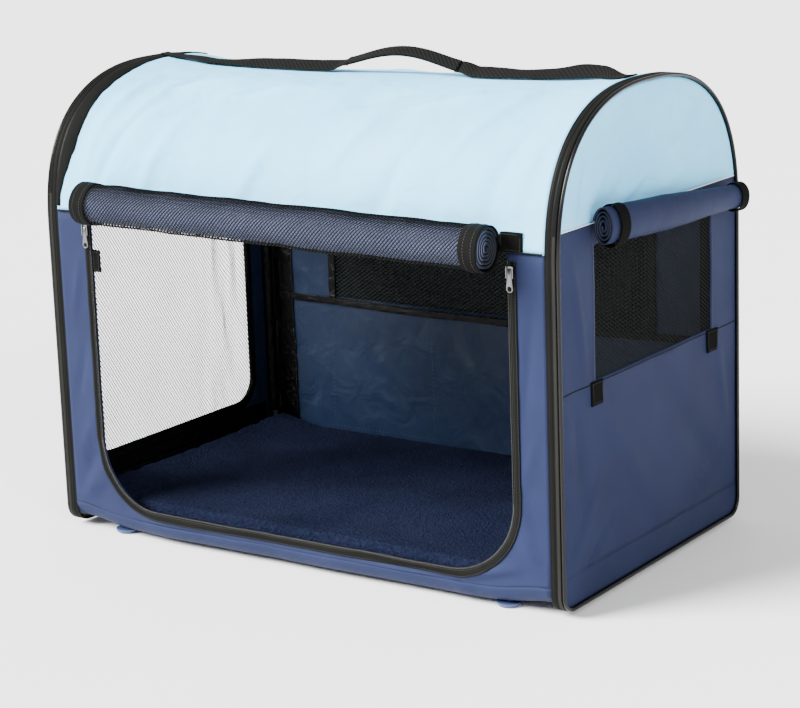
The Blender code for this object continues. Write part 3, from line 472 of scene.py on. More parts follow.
# %% The crate's materials
sky_cloth = woven("sky_cloth", (0.18, 0.61, 0.96), (0.26, 0.70, 0.99), 0.70, crease=1.7, gloss=0.12)
sky_lining = woven("sky_lining", (0.12, 0.22, 0.33), (0.16, 0.27, 0.38), 0.35, crease=0.5, sheen=0.05)
navy_cloth = woven("navy_cloth", (0.0083, 0.0122, 0.0395), (0.0136, 0.0200, 0.057), 0.66, crease=0.5, gloss=0.12)
navy_lining = woven("navy_lining", (0.0082, 0.0160, 0.037), (0.0123, 0.0230, 0.054), 0.34, crease=1.3,
                    crease_size=0.040, coat=0.04, gloss=0.16)
black_lining = woven("black_lining", (0.0012, 0.0012, 0.0014), (0.0030, 0.0030, 0.0033), 0.22, crease=1.6,
                     crease_size=0.014, gloss=0.14)
# The rolled door's navy cloth, made several times lighter than navy_cloth: partly its own colour, partly painted
# highlights along the roll's turns.
rolled_navy_painted_highlights = woven("rolled_navy_painted_highlights", (0.058, 0.073, 0.145), (0.105, 0.125, 0.220), 0.5, crease=1.2, crease_size=0.03,
                    sheen=0.05)
zip_tape = woven("zip_tape", (0.0022, 0.0025, 0.002), (0.0050, 0.0054, 0.0044), 0.8, ribs=("X", 0.0016), crease=0.1,
                 gloss=0.06)
zip_flap = woven("zip_flap", (0.0085, 0.0082, 0.007), (0.0150, 0.0145, 0.012), 0.75, ribs=("X", 0.0022), crease=0.1,
                 gloss=0.08)
binding = woven("binding", (0.0014, 0.0014, 0.0014), (0.0038, 0.0038, 0.0036), 0.5, ribs=("Y", 0.0014), crease=0.3,
                gloss=0.12)
webbing = woven("webbing", (0.0016, 0.0018, 0.0016), (0.0058, 0.0062, 0.0052), 0.8, ribs=("DIAGONAL", 0.0034),
                relief=0.0009, gloss=0.08)
hook_tape = woven("hook_tape", (0.0012, 0.0014, 0.0012), (0.0038, 0.0042, 0.0034), 0.9, weave=0.0018, relief=0.0009,
                  gloss=0.05)
vinyl_piping = solid("vinyl_piping", (0.002, 0.002, 0.002), (0.005, 0.005, 0.005), 0.26, 250.0,
                     Specular_IOR_Level=0.2)
net_thread = solid("net_thread", (0.003, 0.0036, 0.003), (0.008, 0.009, 0.008), 0.55, Specular_IOR_Level=0.15)
green_net_thread = solid("green_net_thread", (0.010, 0.018, 0.017), (0.020, 0.034, 0.032), 0.45,
                         Specular_IOR_Level=0.3)
dark_thread = solid("dark_thread", (0.0015, 0.0018, 0.0018), (0.004, 0.0045, 0.0045), 0.6, Specular_IOR_Level=0.1)
cut_edge = solid("cut_edge", (0.006, 0.007, 0.011), (0.018, 0.020, 0.028), 0.8, 700.0, Specular_IOR_Level=0.1)
seam_white = solid("seam_white", (0.62, 0.68, 0.74), (0.78, 0.82, 0.86), 0.8, 500.0)
faint_stitch = solid("faint_stitch", (0.020, 0.028, 0.055), (0.034, 0.044, 0.080), 0.6)
black_stitch = solid("black_stitch", (0.010, 0.010, 0.012), (0.025, 0.025, 0.028), 0.7)
tab_stitch = solid("tab_stitch", (0.006, 0.0066, 0.006), (0.012, 0.013, 0.012), 0.7)
coil_gloss = solid("coil_gloss", (0.006, 0.006, 0.006), (0.014, 0.014, 0.014), 0.16, 300.0)
coil_nylon = solid("coil_nylon", (0.010, 0.010, 0.010), (0.030, 0.030, 0.028), 0.4)
plated_zinc = solid("plated_zinc", (0.08, 0.08, 0.082), (0.19, 0.19, 0.195), 0.30, 600.0, Metallic=1.0)
coated_steel = solid("coated_steel", (0.14, 0.145, 0.15), (0.24, 0.245, 0.25), 0.38, 150.0, Metallic=0.6)
moulded_black = solid("moulded_black", (0.008, 0.008, 0.009), (0.020, 0.020, 0.022), 0.42, 900.0)
moulded_navy = solid("moulded_navy", (0.026, 0.040, 0.105), (0.040, 0.060, 0.15), 0.42, 500.0)
hardboard = solid("hardboard", (0.035, 0.028, 0.022), (0.075, 0.060, 0.045), 0.85, 220.0, relief=0.0004)
SKY, NAVY, NAVY_OVER_BLACK = [sky_cloth, sky_lining], [navy_cloth, navy_lining], [navy_cloth, black_lining]
print(len(bpy.data.materials), "materials")

# %% [markdown]
# ## Folds in cloth
#
# Cloth that is pulled between tubes isn't flat. Slow swells come from noise, and each crease that shows is a soft
# ridge between two points of the panel, with its own width and depth. Both only push a point along the surface's
# normal by a few millimetres, so the cloth stays where the construction model has it.

# %% Fold helpers
def crease_depth(along, up, creases):
    """How far the creases lift the cloth at a place. Each is (start, end, half width, depth)."""
    total = 0.0
    for (x0, y0), (x1, y1), width, depth in creases:
        dx, dy = x1 - x0, y1 - y0
        share = min(1.0, max(0.0, ((along - x0) * dx + (up - y0) * dy) / (dx * dx + dy * dy)))
        distance = hypot(along - x0 - share * dx, up - y0 - share * dy)
        total += depth * exp(-((distance / width) ** 2)) * (0.3 + 0.7 * sin(pi * share))
    return total


def swell(along, up, size, seed):
    return noise.noise(Vector((along / size, up / size, seed)))


# %% [markdown]
# ## The camera, the light and the floor
#
# The camera stands where the photograph was taken from: a little to the right, a little above, and far enough away
# that the upright edges stay nearly parallel. Its place is set against the shell, then carried to the frame.

# %% Camera, lights and floor
def set_camera():
    turn, rise, roll, distance = radians(34.917), radians(12.773), radians(-2.063), 3.1243
    back = Vector((sin(turn) * cos(rise), -cos(turn) * cos(rise), sin(rise)))
    right = Vector((cos(turn), sin(turn), 0))
    up = back.cross(right)
    sideways = cos(roll) * right + sin(roll) * up
    upwards = -sin(roll) * right + cos(roll) * up
    data = bpy.data.cameras.new("camera")
    data.lens, data.sensor_width, data.sensor_fit = 104.18, 36.0, "HORIZONTAL"
    data.shift_x, data.shift_y = 0.0083, -0.0386
    camera = placed("camera", data)
    axes = Matrix((sideways, upwards, back)).transposed().to_4x4()
    camera.matrix_world = Matrix.Translation(back * distance + Vector((0, 0, 0.28)) + SHELL) @ axes
    bpy.context.scene.camera = camera


def set_studio():
    world = bpy.data.worlds.new("studio")
    world.use_nodes = True
    world.node_tree.nodes["Background"].inputs["Color"].default_value = (1, 1, 1, 1)
    world.node_tree.nodes["Background"].inputs["Strength"].default_value = 0.90
    bpy.context.scene.world = world
    for name, energy, spread, towards in (("key", 15.0, 30, (-0.52, -0.60, 0.60)),
                                          ("fill", 2.2, 20, (0.72, -0.45, 0.52))):
        sun = placed(name, bpy.data.lights.new(name, "SUN"))
        sun.data.energy, sun.data.angle = energy, radians(spread)
        sun.rotation_euler = Vector(towards).to_track_quat("Z", "Y").to_euler()
    floor = bpy.data.meshes.new("floor")
    reach = 16
    floor.from_pydata([(x * reach, y * reach, 0) for x, y in ((-1, -1), (1, -1), (1, 1), (-1, 1))], [], [(0, 1, 2, 3)])
    floor.materials.append(solid("pale_floor", (0.90, 0.90, 0.90), (0.93, 0.93, 0.93), 0.6, 3.0, 0.0))
    placed("floor", floor)


set_camera()
set_studio()
print("camera and lights are set")

# %% [markdown]
# ## The roof
#
# One panel of sky-blue polyester runs from the front seam over the ridge to the rear seam. It hangs between the two
# arch tubes, so it sags a little towards its middle, and it creases where the arches pull it. A grid follows the
# arch, and every point then moves along the surface's normal.

# %% Roof
ROOF_CREASES = [
    ((-0.362, 0.03), (-0.340, 0.20), 0.009, -0.0062),
    ((-0.335, 0.05), (-0.312, 0.24), 0.008, 0.0056),
    ((-0.312, 0.03), (-0.270, 0.16), 0.009, -0.0070),
    ((-0.290, 0.12), (-0.250, 0.25), 0.009, 0.0080),
    ((-0.270, 0.20), (-0.170, 0.255), 0.008, 0.0074),
    ((-0.250, 0.15), (-0.140, 0.23), 0.009, -0.0078),
    ((-0.235, 0.02), (-0.195, 0.16), 0.012, 0.0070),
    ((-0.140, 0.20), (-0.020, 0.250), 0.009, 0.0060),
    ((-0.120, 0.14), (-0.020, 0.22), 0.010, -0.0050),
    ((-0.080, 0.02), (-0.030, 0.13), 0.014, 0.0050),
    ((0.010, 0.18), (0.110, 0.245), 0.009, -0.0060),
    ((0.060, 0.08), (0.110, 0.19), 0.011, 0.0050),
    ((0.130, 0.20), (0.230, 0.250), 0.009, 0.0060),
    ((0.140, 0.02), (0.180, 0.14), 0.013, -0.0050),
    ((0.230, 0.10), (0.290, 0.25), 0.010, 0.0056),
    ((0.300, 0.04), (0.345, 0.22), 0.010, -0.0058),
    ((0.330, 0.02), (0.362, 0.16), 0.008, 0.0050),
    ((0.000, 0.45), (0.120, 0.60), 0.014, -0.0055),
    ((-0.260, 0.42), (-0.200, 0.58), 0.012, 0.0055),
    ((-0.345, 0.40), (-0.310, 0.58), 0.010, -0.0055),
    ((0.240, 0.43), (0.300, 0.58), 0.012, -0.0055),
    ((0.320, 0.40), (0.355, 0.58), 0.009, 0.0050),
]


def roof_sag(x, height):
    """The ridge hangs lower between the arches than at them."""
    return -0.0125 * (1 - abs(x / WALL_END) ** 5) * eased((height - 0.52) / 0.10)


def roof_fold(x, around):
    """The roof's small swells and creases. Around is the distance from the front seam over the arch."""
    held = 1 - (abs(x) / WALL_END) ** 8
    total = 0.0060 * swell(x, around, 0.15, 2.1) + 0.0026 * swell(x * 1.5, around * 0.7, 0.055, 5.3)
    return held * (total + crease_depth(x, around, ROOF_CREASES))


def make_roof():
    path = arch(0, FRONT_SEAM, 136)
    around = lengths(np.array(path))
    last, middle = len(path) - 1, len(path) // 2

    def place(x, index):
        (y, z), before, after = path[index], path[max(0, index - 1)], path[min(last, index + 1)]
        out = Vector((0, before[1] - after[1], after[0] - before[0])).normalized()
        push = roof_fold(x, around[index]) * eased(min(index, last - index) / 8)
        push *= 1 - 0.9 * exp(-(((index - middle) / 9) ** 4))
        return Vector((x, y, z + roof_sag(x, z))) + out * push

    rows = grid(steps_between(-WALL_END, WALL_END, 170), range(len(path)), place)
    roof = sheet("roof_cloth", rows, SKY, (0, 0, 1), "shell", "sky_cloth", "roof")
    return rows


def on_roof(x, index):
    """A place on the finished roof, between two of its rows, and the first of those rows."""
    share = (x + WALL_END) / (2 * WALL_END) * (len(roof_rows) - 1)
    low = min(len(roof_rows) - 2, max(0, int(share)))
    return roof_rows[low][index].lerp(roof_rows[low + 1][index], share - low), roof_rows[low]


def make_zip_guard():
    """The zip's cover strip, which stands open and wavy along the left arch's front."""
    def place(across, index):
        wide = 0.005 + 0.0150 * eased((index - 1) / 17) * (1 - eased((index - 50) / 33))
        wide += 0.0016 * swell(index * 0.039, 0.3, 0.16, 5.9) + 0.0007 * swell(index * 0.14, 0.3, 0.16, 2.2)
        ridge = 0.0011 * sin(pi * across) + 0.0009 * max(0.0, swell(across, index * 0.07, 0.3, 8.8))
        here, row = on_roof(-WALL_END + 0.0003 + across * wide, index)
        before, after = row[index - 1], row[index + 1]
        return here + Vector((0, before.z - after.z, after.y - before.y)).normalized() * (0.0005 + ridge)

    rows = grid(steps_between(0, 1, 8), range(1, 84), place)
    sheet("left_zip_guard", rows, [zip_tape], (0, -0.5, 1), "shell", "binding_black", thick=0.0006)


roof_rows = make_roof()
make_zip_guard()
print("roof:", len(roof_rows), "rows of", len(roof_rows[0]), "points")

# %% [markdown]
# ## The front wall and the base
#
# The doorway takes most of the front wall, so what is left is a U-shaped band. Its grid runs between the doorway's
# edge and the wall's own edge. Below the doorway the cloth bulges over the base board, and near the ends it is drawn
# up, so the lower edge isn't straight.

# %% Doorway outline
TAPE_WIDTH = 0.012
tape_low, tape_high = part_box("front_zip_tape")
DOOR_LEFT, DOOR_RIGHT = tape_low.x - SHELL.x + TAPE_WIDTH, tape_high.x - SHELL.x - TAPE_WIDTH
DOOR_BOTTOM = tape_low.z + TAPE_WIDTH
DOOR_RADIUS = 0.090


def u_line(left, right, bottom, top, radius, legs=22, turns=14, under=44):
    """Points (x, z) down the left leg, round both lower corners and up the right leg."""
    low = bottom + radius

    def turn(centre, first):
        return [(centre + radius * cos(angle), low + radius * sin(angle))
                for angle in steps_between(first, first + pi / 2, turns)]

    level = [(x, bottom) for x in steps_between(left + radius, right - radius, under)[1:-1]]
    return ([(left, z) for z in steps_between(top, low, legs)[:-1]] + turn(left + radius, pi) + level
            + turn(right - radius, 1.5 * pi) + [(right, z) for z in steps_between(low, top, legs)[1:]])


def u_border(inner, bottom):
    """The wall's own edge, point for point opposite the doorway's edge. Each corner takes half of a turn's points."""
    low, near = DOOR_BOTTOM + DOOR_RADIUS, 1e-9
    border = []
    for x, z in inner:
        sign = (x > DOOR_RIGHT - DOOR_RADIUS + near) - (x < DOOR_LEFT + DOOR_RADIUS - near)
        centre = DOOR_RIGHT - DOOR_RADIUS if sign > 0 else DOOR_LEFT + DOOR_RADIUS
        share = atan2(low - z, abs(x - centre)) / (pi / 4)
        if not sign:
            border.append((x, bottom))
        elif z >= low - near:
            border.append((sign * WALL_END, z))
        elif share <= 1:
            border.append((sign * WALL_END, low + (bottom - low) * share))
        else:
            border.append((sign * WALL_END + (centre - sign * WALL_END) * (share - 1), bottom))
    return border


def base_lift(x, y):
    """The base's edge is drawn up near the ends of the crate and hangs a little between them."""
    near_end = exp(-(((WALL_END - abs(x)) / 0.06) ** 2))
    return eased((abs(y) - 0.165) / 0.05) * (0.0085 * near_end - 0.002 * (1 - near_end))


# %% Front wall and base
FRONT_CREASES = [
    ((0.376, 0.050), (0.338, 0.100), 0.006, 0.0040),
    ((0.374, 0.075), (0.345, 0.150), 0.005, -0.0032),
    ((0.250, 0.034), (0.340, 0.060), 0.006, 0.0034),
    ((0.100, 0.040), (0.240, 0.030), 0.007, -0.0030),
    ((-0.250, 0.032), (-0.100, 0.040), 0.007, 0.0030),
    ((-0.376, 0.036), (-0.320, 0.090), 0.006, 0.0042),
    ((-0.376, 0.066), (-0.330, 0.125), 0.005, -0.0034),
    ((-0.374, 0.110), (-0.335, 0.160), 0.005, 0.0032),
    ((-0.370, 0.180), (-0.345, 0.260), 0.005, -0.0024),
    ((-0.366, 0.300), (-0.345, 0.380), 0.005, 0.0024),
    ((0.350, 0.250), (0.365, 0.400), 0.006, -0.0024),
    ((0.345, 0.170), (0.372, 0.230), 0.005, 0.0022),
]


def front_bulge(x, z):
    low = exp(-(((z - 0.030) / 0.045) ** 2))
    middle = max(0.0, 1 - (x / (WALL_END - 0.02)) ** 4)
    held = min(1.0, (WALL_END - abs(x)) / 0.03)
    pucker = 0.0007 * swell(x * 0.4, z, 0.012, 3.9) * (1 - eased((z - 0.40) / 0.04))
    folds = 1.5 * crease_depth(x, z, FRONT_CREASES) + pucker
    return 0.0065 * low * middle + 0.0012 * swell(x, z, 0.05, 1.3) * middle + held * folds


def make_front_wall():
    inner = u_line(DOOR_LEFT, DOOR_RIGHT, DOOR_BOTTOM, FRONT_SEAM - SEAM_GAP, DOOR_RADIUS)

    def place(share, ends):
        (x0, z0), (x1, z1) = ends
        x, z = x0 + (x1 - x0) * share, z0 + (z1 - z0) * share
        z += base_lift(x, HALF_DEPTH) * (1 - eased((z - 0.03) / 0.05))
        return x, -half_depth(z) - front_bulge(x, z), z

    rows = grid(steps_between(0, 1, 12), list(zip(inner, u_border(inner, WALL_BOTTOM))), place)
    wall = sheet("front_wall_cloth", rows, NAVY, (0, -1, 0), "shell", "navy_cloth", "front_wall", flat=(0, 2))


def make_base_cloth():
    front = corner(0, -1, 8)
    level = [(y, BASE) for y in steps_between(front[-1][0], -front[-1][0], 24)[1:-1]]

    def place(x, flat):
        y, z = flat
        push = front_bulge(x, 0.030) * eased((abs(y) - 0.205) / 0.03) * (1 if y < 0 else 0.6)
        dimple = 0.0006 * swell(x, y, 0.08, 7.7)
        return x, y + copysign(1, y) * push, max(0.0035, z + base_lift(x, y) + dimple)

    rows = grid(steps_between(-WALL_END, WALL_END, 90), front + level + corner(0, 1, 8)[::-1], place)
    base = sheet("base_cloth", rows, NAVY_OVER_BLACK, (0, 0, -1), "shell", "navy_cloth", "bottom_panel", thick=0.0018)


make_front_wall()
make_base_cloth()
print("front wall and base: made")

# %% [markdown]
# ## Panels with a hole
#
# The rear wall and both ends have a window or a door in them. Rays from the middle of the hole meet both outlines,
# and the grid runs along those rays. The outlines' own corners get a ray each, so none of them is cut off.

# %% Panels round a hole
def crossings(outline, start, step):
    """Where a line from start crosses an outline, as pairs of shares: along the line, and along the side it meets."""
    for (x0, y0), (x1, y1) in zip(outline, outline[1:] + outline[:1]):
        side_x, side_y = x1 - x0, y1 - y0
        cross = step[0] * side_y - step[1] * side_x
        if abs(cross) > 1e-12:
            x, y = x0 - start[0], y0 - start[1]
            yield (x * side_y - y * side_x) / cross, (x * step[1] - y * step[0]) / cross


SIDE_MARGIN = 1e-7
CORNER_ROOM = 0.012


def ray_rows(outer, inner, centre, count, rays):
    """Rows of flat points from an inner outline out to an outer one.

    Even rays give way to a corner's own ray, and a side counts as a touch longer than it is, so none slips past it.
    """
    def edge(outline, ray):
        return max([0.0] + [reach for reach, side in crossings(outline, centre, ray)
                            if -SIDE_MARGIN <= side <= 1 + SIDE_MARGIN])

    turns = {round(2 * pi * k / rays - pi, 5) for k in range(rays)}
    corners = {round(atan2(y - centre[1], x - centre[0]), 5) for x, y in outer + inner}
    turns = {turn for turn in turns if all(abs(turn - c) > CORNER_ROOM for c in corners)} | corners
    rows = [[] for step in range(count + 1)]
    for turn in sorted(turns):
        ray = (cos(turn), sin(turn))
        for row, reach in zip(rows, steps_between(edge(inner, ray), edge(outer, ray), count)):
            row.append((centre[0] + reach * ray[0], centre[1] + reach * ray[1]))
    return rows


def holed_sheet(name, rows, place, outwards, across, body, node):
    """A ring of navy cloth. Place turns a flat point into one in the shell's coordinates."""
    rows = [[place(*point) for point in row] for row in rows]
    return sheet(name, rows, NAVY, outwards, body, "navy_cloth", node, closed=True, flat=(across, 2))


def rectangle(left, right, bottom, top):
    return [(left, bottom), (right, bottom), (right, top), (left, top)]


# %% Rear wall
REAR_WINDOW = (-0.267, 0.267, 0.246, 0.415)
REAR_SLACK = 0.0030
REAR_INSIDE = 0.2322
REAR_CREASES = [
    ((-0.345, 0.225), (-0.300, 0.150), 0.006, -0.0056),
    ((-0.345, 0.190), (-0.290, 0.120), 0.005, -0.0050),
    ((-0.345, 0.150), (-0.280, 0.150), 0.005, -0.0044),
    ((-0.345, 0.110), (-0.290, 0.060), 0.005, -0.0050),
    ((-0.340, 0.400), (-0.290, 0.300), 0.006, -0.0056),
    ((-0.345, 0.330), (-0.290, 0.350), 0.005, -0.0044),
    ((-0.345, 0.290), (-0.300, 0.262), 0.005, -0.0044),
    ((-0.250, 0.215), (-0.150, 0.120), 0.010, -0.0030),
    ((-0.080, 0.220), (0.020, 0.080), 0.012, -0.0030),
    ((0.100, 0.215), (0.180, 0.060), 0.012, -0.0030),
    ((0.290, 0.380), (0.350, 0.200), 0.008, -0.0030),
]


def rear_fold(x, z):
    """The rear wall is slack: long shallow folds, and deeper ones under the window."""
    held = min(1.0, (WALL_END - abs(x)) / 0.05) * eased((z - 0.03) / 0.04) * eased((FRONT_SEAM - z) / 0.03)
    low, high = REAR_WINDOW[2:]
    away = hypot(max(0.0, abs(x) - REAR_WINDOW[1]), max(0.0, low - z, z - high))
    folds = 0.0040 * swell(x, z, 0.10, 3.1) + 0.0026 * swell(x * 1.7, z * 0.6, 0.035, 8.2) - 0.0012
    depth = held * (folds + crease_depth(x, z, REAR_CREASES)) * eased(away / 0.03)
    return REAR_SLACK * tanh(depth / REAR_SLACK)


def inward_fold(x, z):
    """The rear wall only folds into the crate, so that its cover hangs free outside."""
    return min(0.0, rear_fold(x, z))


def make_rear_wall():
    outer = rectangle(-WALL_END, WALL_END, WALL_BOTTOM, FRONT_SEAM - SEAM_GAP)
    rows = ray_rows(outer, rectangle(*REAR_WINDOW), centre=(0, 0.33), count=22, rays=220)
    wall = holed_sheet("rear_wall_cloth", rows, lambda x, z: (x, half_depth(z) + inward_fold(x, z), z),
                       (0, 1, 0), 0, "shell", "rear_wall")


make_rear_wall()
print("rear wall: made")

# %% [markdown]
# ## The two ends
#
# Each end is a D of cloth: navy up to a seam, sky blue above it. The left one holds the net door. The right one has a
# net window, and its rolled cover pulls the cloth into soft folds that run down from it.

# %% End panels
WINDOW = (-0.145, 0.159, 0.279, 0.445)
LEFT_DOOR = (-0.192, 0.192, 0.072, 0.452)
LEFT_DOOR_RADIUS = 0.050
PANEL_BOTTOM, SKIRT_SHOULDER, SKIRT_TOP = 0.0485, 0.0497, 0.0500
RIGHT_CREASES = [
    ((-0.200, 0.440), (-0.165, 0.280), 0.008, 0.0030),
    ((-0.195, 0.270), (-0.175, 0.110), 0.009, -0.0028),
    ((-0.150, 0.260), (0.020, 0.070), 0.018, 0.0038),
    ((0.010, 0.250), (0.200, 0.060), 0.020, -0.0036),
    ((0.175, 0.270), (0.205, 0.130), 0.010, 0.0030),
    ((-0.218, 0.040), (-0.140, 0.150), 0.006, 0.0034),
    ((-0.190, 0.035), (-0.110, 0.100), 0.006, -0.0030),
    ((0.080, 0.055), (0.190, 0.130), 0.005, 0.0038),
    ((0.060, 0.045), (0.200, 0.105), 0.006, -0.0034),
]
TOP_CREASES = [
    ((-0.150, 0.500), (-0.060, 0.600), 0.010, 0.0055),
    ((-0.120, 0.485), (0.060, 0.585), 0.012, -0.0050),
    ((-0.080, 0.485), (0.120, 0.560), 0.010, 0.0050),
    ((-0.180, 0.480), (-0.150, 0.560), 0.009, -0.0042),
    ((0.020, 0.485), (0.170, 0.530), 0.009, 0.0042),
    ((-0.060, 0.480), (0.020, 0.520), 0.008, -0.0036),
]


def held_in_end(y, z, width):
    """Nought at the band round the end, and one at a width inside it."""
    return eased((half_depth(z, PANEL_INSET) - abs(y)) / width)


def end_fold(y, z):
    held = held_in_end(y, z, 0.03) * eased((z - 0.018) / 0.03) * eased((END_SEAM - z) / 0.02)
    return held * (0.0022 * swell(y, z, 0.09, 4.4) + crease_depth(y, z, RIGHT_CREASES))


def top_fold(y, z):
    held = held_in_end(y, z, 0.035) * eased((z - END_SEAM) / 0.02)
    return held * (0.0036 * swell(y, z, 0.08, 9.1) + crease_depth(y, z, TOP_CREASES))


def door_outline(inset, steps=8):
    left, right, bottom, top = LEFT_DOOR
    return u_line(left + inset, right - inset, bottom + inset, top - inset, LEFT_DOOR_RADIUS - inset, 1, steps, 1)


def make_end_panels():
    side = [(half_depth(z, PANEL_INSET), z) for z in steps_between(PANEL_BOTTOM, END_SEAM - SEAM_GAP, 10)]
    outline = side + [(-y, z) for y, z in reversed(side)]
    rows = ray_rows(outline, door_outline(0), centre=(0, 0.262), count=8, rays=160)
    left = holed_sheet("left_end_cloth", rows, lambda y, z: (-PANEL_X, y, z), (-1, 0, 0), 1, "left_end",
                       "left_end_panel")
    rows = ray_rows(outline, rectangle(*WINDOW), centre=(0, 0.35), count=26, rays=220)
    right = holed_sheet("right_end_cloth", rows, lambda y, z: (PANEL_X + end_fold(y, z), y, z), (1, 0, 0), 1,
                        "right_end", "right_end_panel")


def fan_rows(line, level, count, out):
    """Rows from a level line to a curved one, point for point. Out gives each point's x."""
    flat = steps_between(line[0][0], line[-1][0], len(line) - 1)

    def place(share, ends):
        flat_y, (y, z) = ends
        across, up = flat_y + (y - flat_y) * share, level + (z - level) * share
        return out(across, up, share), across, up

    return grid(steps_between(0, 1, count), list(zip(flat, line)), place)


def make_end_tops():
    crown = arch(PANEL_INSET, END_SEAM, 90)
    for side, sign in SIDES:
        rows = fan_rows(crown, crown[0][1], 30, lambda y, z, share: sign * (PANEL_X + top_fold(y, z)))
        top = sheet(side + "_end_sky_cloth", rows, SKY, (sign, 0, 0), side + "_end", "sky_cloth", side + "_end_top",
                    flat=(1, 2))


def make_skirts():
    """The strip of cloth under each end, which stays with the shell when the end folds in."""
    front, rear = corner(PANEL_INSET, -1, 8), corner(PANEL_INSET, 1, 8)[::-1]
    level = [(y, front[-1][1]) for y in steps_between(front[-1][0], rear[0][0], 40)[1:-1]]
    wide = half_depth(SKIRT_SHOULDER, PANEL_INSET)
    line = [(-wide, SKIRT_SHOULDER)] + front + level + rear + [(wide, SKIRT_SHOULDER)]
    for side, sign in SIDES:
        def out(y, z, share):
            return sign * (PANEL_X - 0.0004 * eased((0.4 - share) / 0.4) + (end_fold(y, z) if sign > 0 else 0.0))
        skirt = sheet(side + "_skirt_cloth", fan_rows(line, SKIRT_TOP, 12, out), NAVY_OVER_BLACK, (sign, 0, 0), "shell",
                      "navy_cloth", side + "_skirt", flat=(1, 2))


make_end_panels()
make_end_tops()
make_skirts()
print("ends: made")

# %% [markdown]
# ## Zip bands and piping
#
# A zip joins each end to the shell. From outside it shows as a band of tape in two tones with the zip's line between
# them, and shiny round piping at the very edge. Both are a section carried round the D.

# %% Zip bands
# Each place on the band is (across, out), from its inner edge. The two ridges are the tape's folded edges.
BAND_SECTION = [(0, -0.0002), (0.0006, 0.0), (0.0046, 0.0), (0.0052, -0.0008), (0.0060, -0.0008), (0.0066, 0.0),
                (0.0112, 0.0), (0.0118, -0.0008), (0.0130, -0.0008), (0.0138, 0.0), (0.0144, -0.0002),
                (0.0144, -CLOTH), (0, -CLOTH)]
BAND_TONES = [2, 1, 2, 2, 2, 0, 2, 2, 2, 2, 2, 2, 2]
DARK_ABOVE = 0.47


def make_bands():
    circle = [(PIPING * cos(turn), PIPING * sin(turn)) for turn in steps_between(0, 2 * pi, 10)[:-1]]
    for side, sign in SIDES:
        section = [(sign * (BAND_END - across), out) for across, out in BAND_SECTION]
        mesh = sweep(side + "_band_tape", d_path(0), section, [zip_tape, zip_flap, binding], BAND_TONES)
        for face in mesh.polygons:
            if face.center.z > DARK_ABOVE and face.material_index == 1:
                face.material_index = 0
        piece(side + "_band_tape", mesh, "shell", "binding_black", side + "_zip_band")
        section = [(sign * (HALF_LENGTH - PIPING) + along, out) for along, out in circle]
        mesh = sweep(side + "_edge_piping", d_path(PIPING), section, [vinyl_piping])
        piece(side + "_edge_piping", mesh, "shell", "binding_black", side + "_piping")


make_bands()
print("bands and piping: made")

# %% [markdown]
# ## The doorway's zip
#
# A U of zip tape is sewn round the doorway. Its inner edge carries a nylon coil, and two rows of stitches hold it to
# the wall. The tape follows the wall's bulge, so each of its points asks the wall where it is.

# %% Front zip tape
def on_front(x, z, proud):
    return x, -half_depth(z) - front_bulge(x, z) - 0.0003 - proud, z


def door_line(outward, proud):
    """A line round the doorway's edge, moved outward, and proud of the wall."""
    line = u_line(DOOR_LEFT - outward, DOOR_RIGHT + outward, DOOR_BOTTOM - outward, tape_high.z, DOOR_RADIUS + outward)
    return [on_front(x, z, proud) for x, z in line]


def make_front_tape():
    section = [(TAPE_WIDTH, 0), (TAPE_WIDTH, 0.0009), (0.0113, 0.0013), (0.0062, 0.0012), (0.0056, 0.0007),
               (0.0050, 0.0013), (0.0022, 0.0014), (0.0014, 0.0008), (0, 0.0008), (0, 0)]
    rows = [door_line(outward, proud) for outward, proud in section + section[:1]]
    mesh = close_ends(grid_mesh("front_tape_cloth", rows, [zip_tape, zip_flap], bands=[0, 0, 0, 0, 1, 0, 0, 0, 0, 0]))
    piece("front_tape_cloth", mesh, "shell", "binding_black", "front_zip_tape")
    beads("front_zip_coil", [door_line(0.0012, 0.0010)], 0.0017, (0.0012, 0.0026, 0.0016), (0, 0, 1), coil_nylon,
          "shell")
    beads("front_tape_stitches", [door_line(outward, 0.0013) for outward in (0.0035, 0.0105)], 0.0034,
          (0.0024, 0.0006, 0.0006), (0, -1, 0), black_stitch, "shell")
    # A dark thread along the roof's front seam: painted shade in the seam, which also covers the lit edge of the roof's
    # hem.
    edge = [on_front(x, FRONT_SEAM + 0.0004, 0.0016) for x in steps_between(-WALL_END + 0.001, WALL_END - 0.001, 90)]
    threads("front_seam_painted_shade", [edge], 0.0011, dark_thread, 4, "shell", "navy_cloth")


make_front_tape()
print("front zip tape: made")

# %% [markdown]
# ## The nets
#
# Pet mesh is a warp knit: two families of threads that cross on the slant. Each thread is a line clipped to the
# opening, then given its thickness by the thread tree. Lines are cheap to clip in Python, and the tree keeps the
# threads' size in one place. A little slackness in the line makes the whole net ripple.

# %% Net lines
THREAD_STEP = 0.018


def net_lines(outline, slant, pitch):
    """Lines across an outline at a slant, each in short steps so that it can bend."""
    xs, ys = [x for x, y in outline], [y for x, y in outline]
    middle = ((min(xs) + max(xs)) / 2, (min(ys) + max(ys)) / 2)
    reach = hypot(max(xs) - min(xs), max(ys) - min(ys)) / 2
    dx, dy = cos(slant), sin(slant)
    lines = []
    for k in range(-int(reach / pitch), int(reach / pitch) + 1):
        start = (middle[0] - dy * pitch * k - dx * reach, middle[1] + dx * pitch * k - dy * reach)
        step = (2 * reach * dx, 2 * reach * dy)
        cuts = sorted(share for share, side in crossings(outline, start, step) if 0 <= side < 1)
        for low, high in zip(cuts[::2], cuts[1::2]):
            count = max(1, round((high - low) * 2 * reach / THREAD_STEP))
            lines.append([(start[0] + step[0] * s, start[1] + step[1] * s) for s in steps_between(low, high, count)])
    return lines


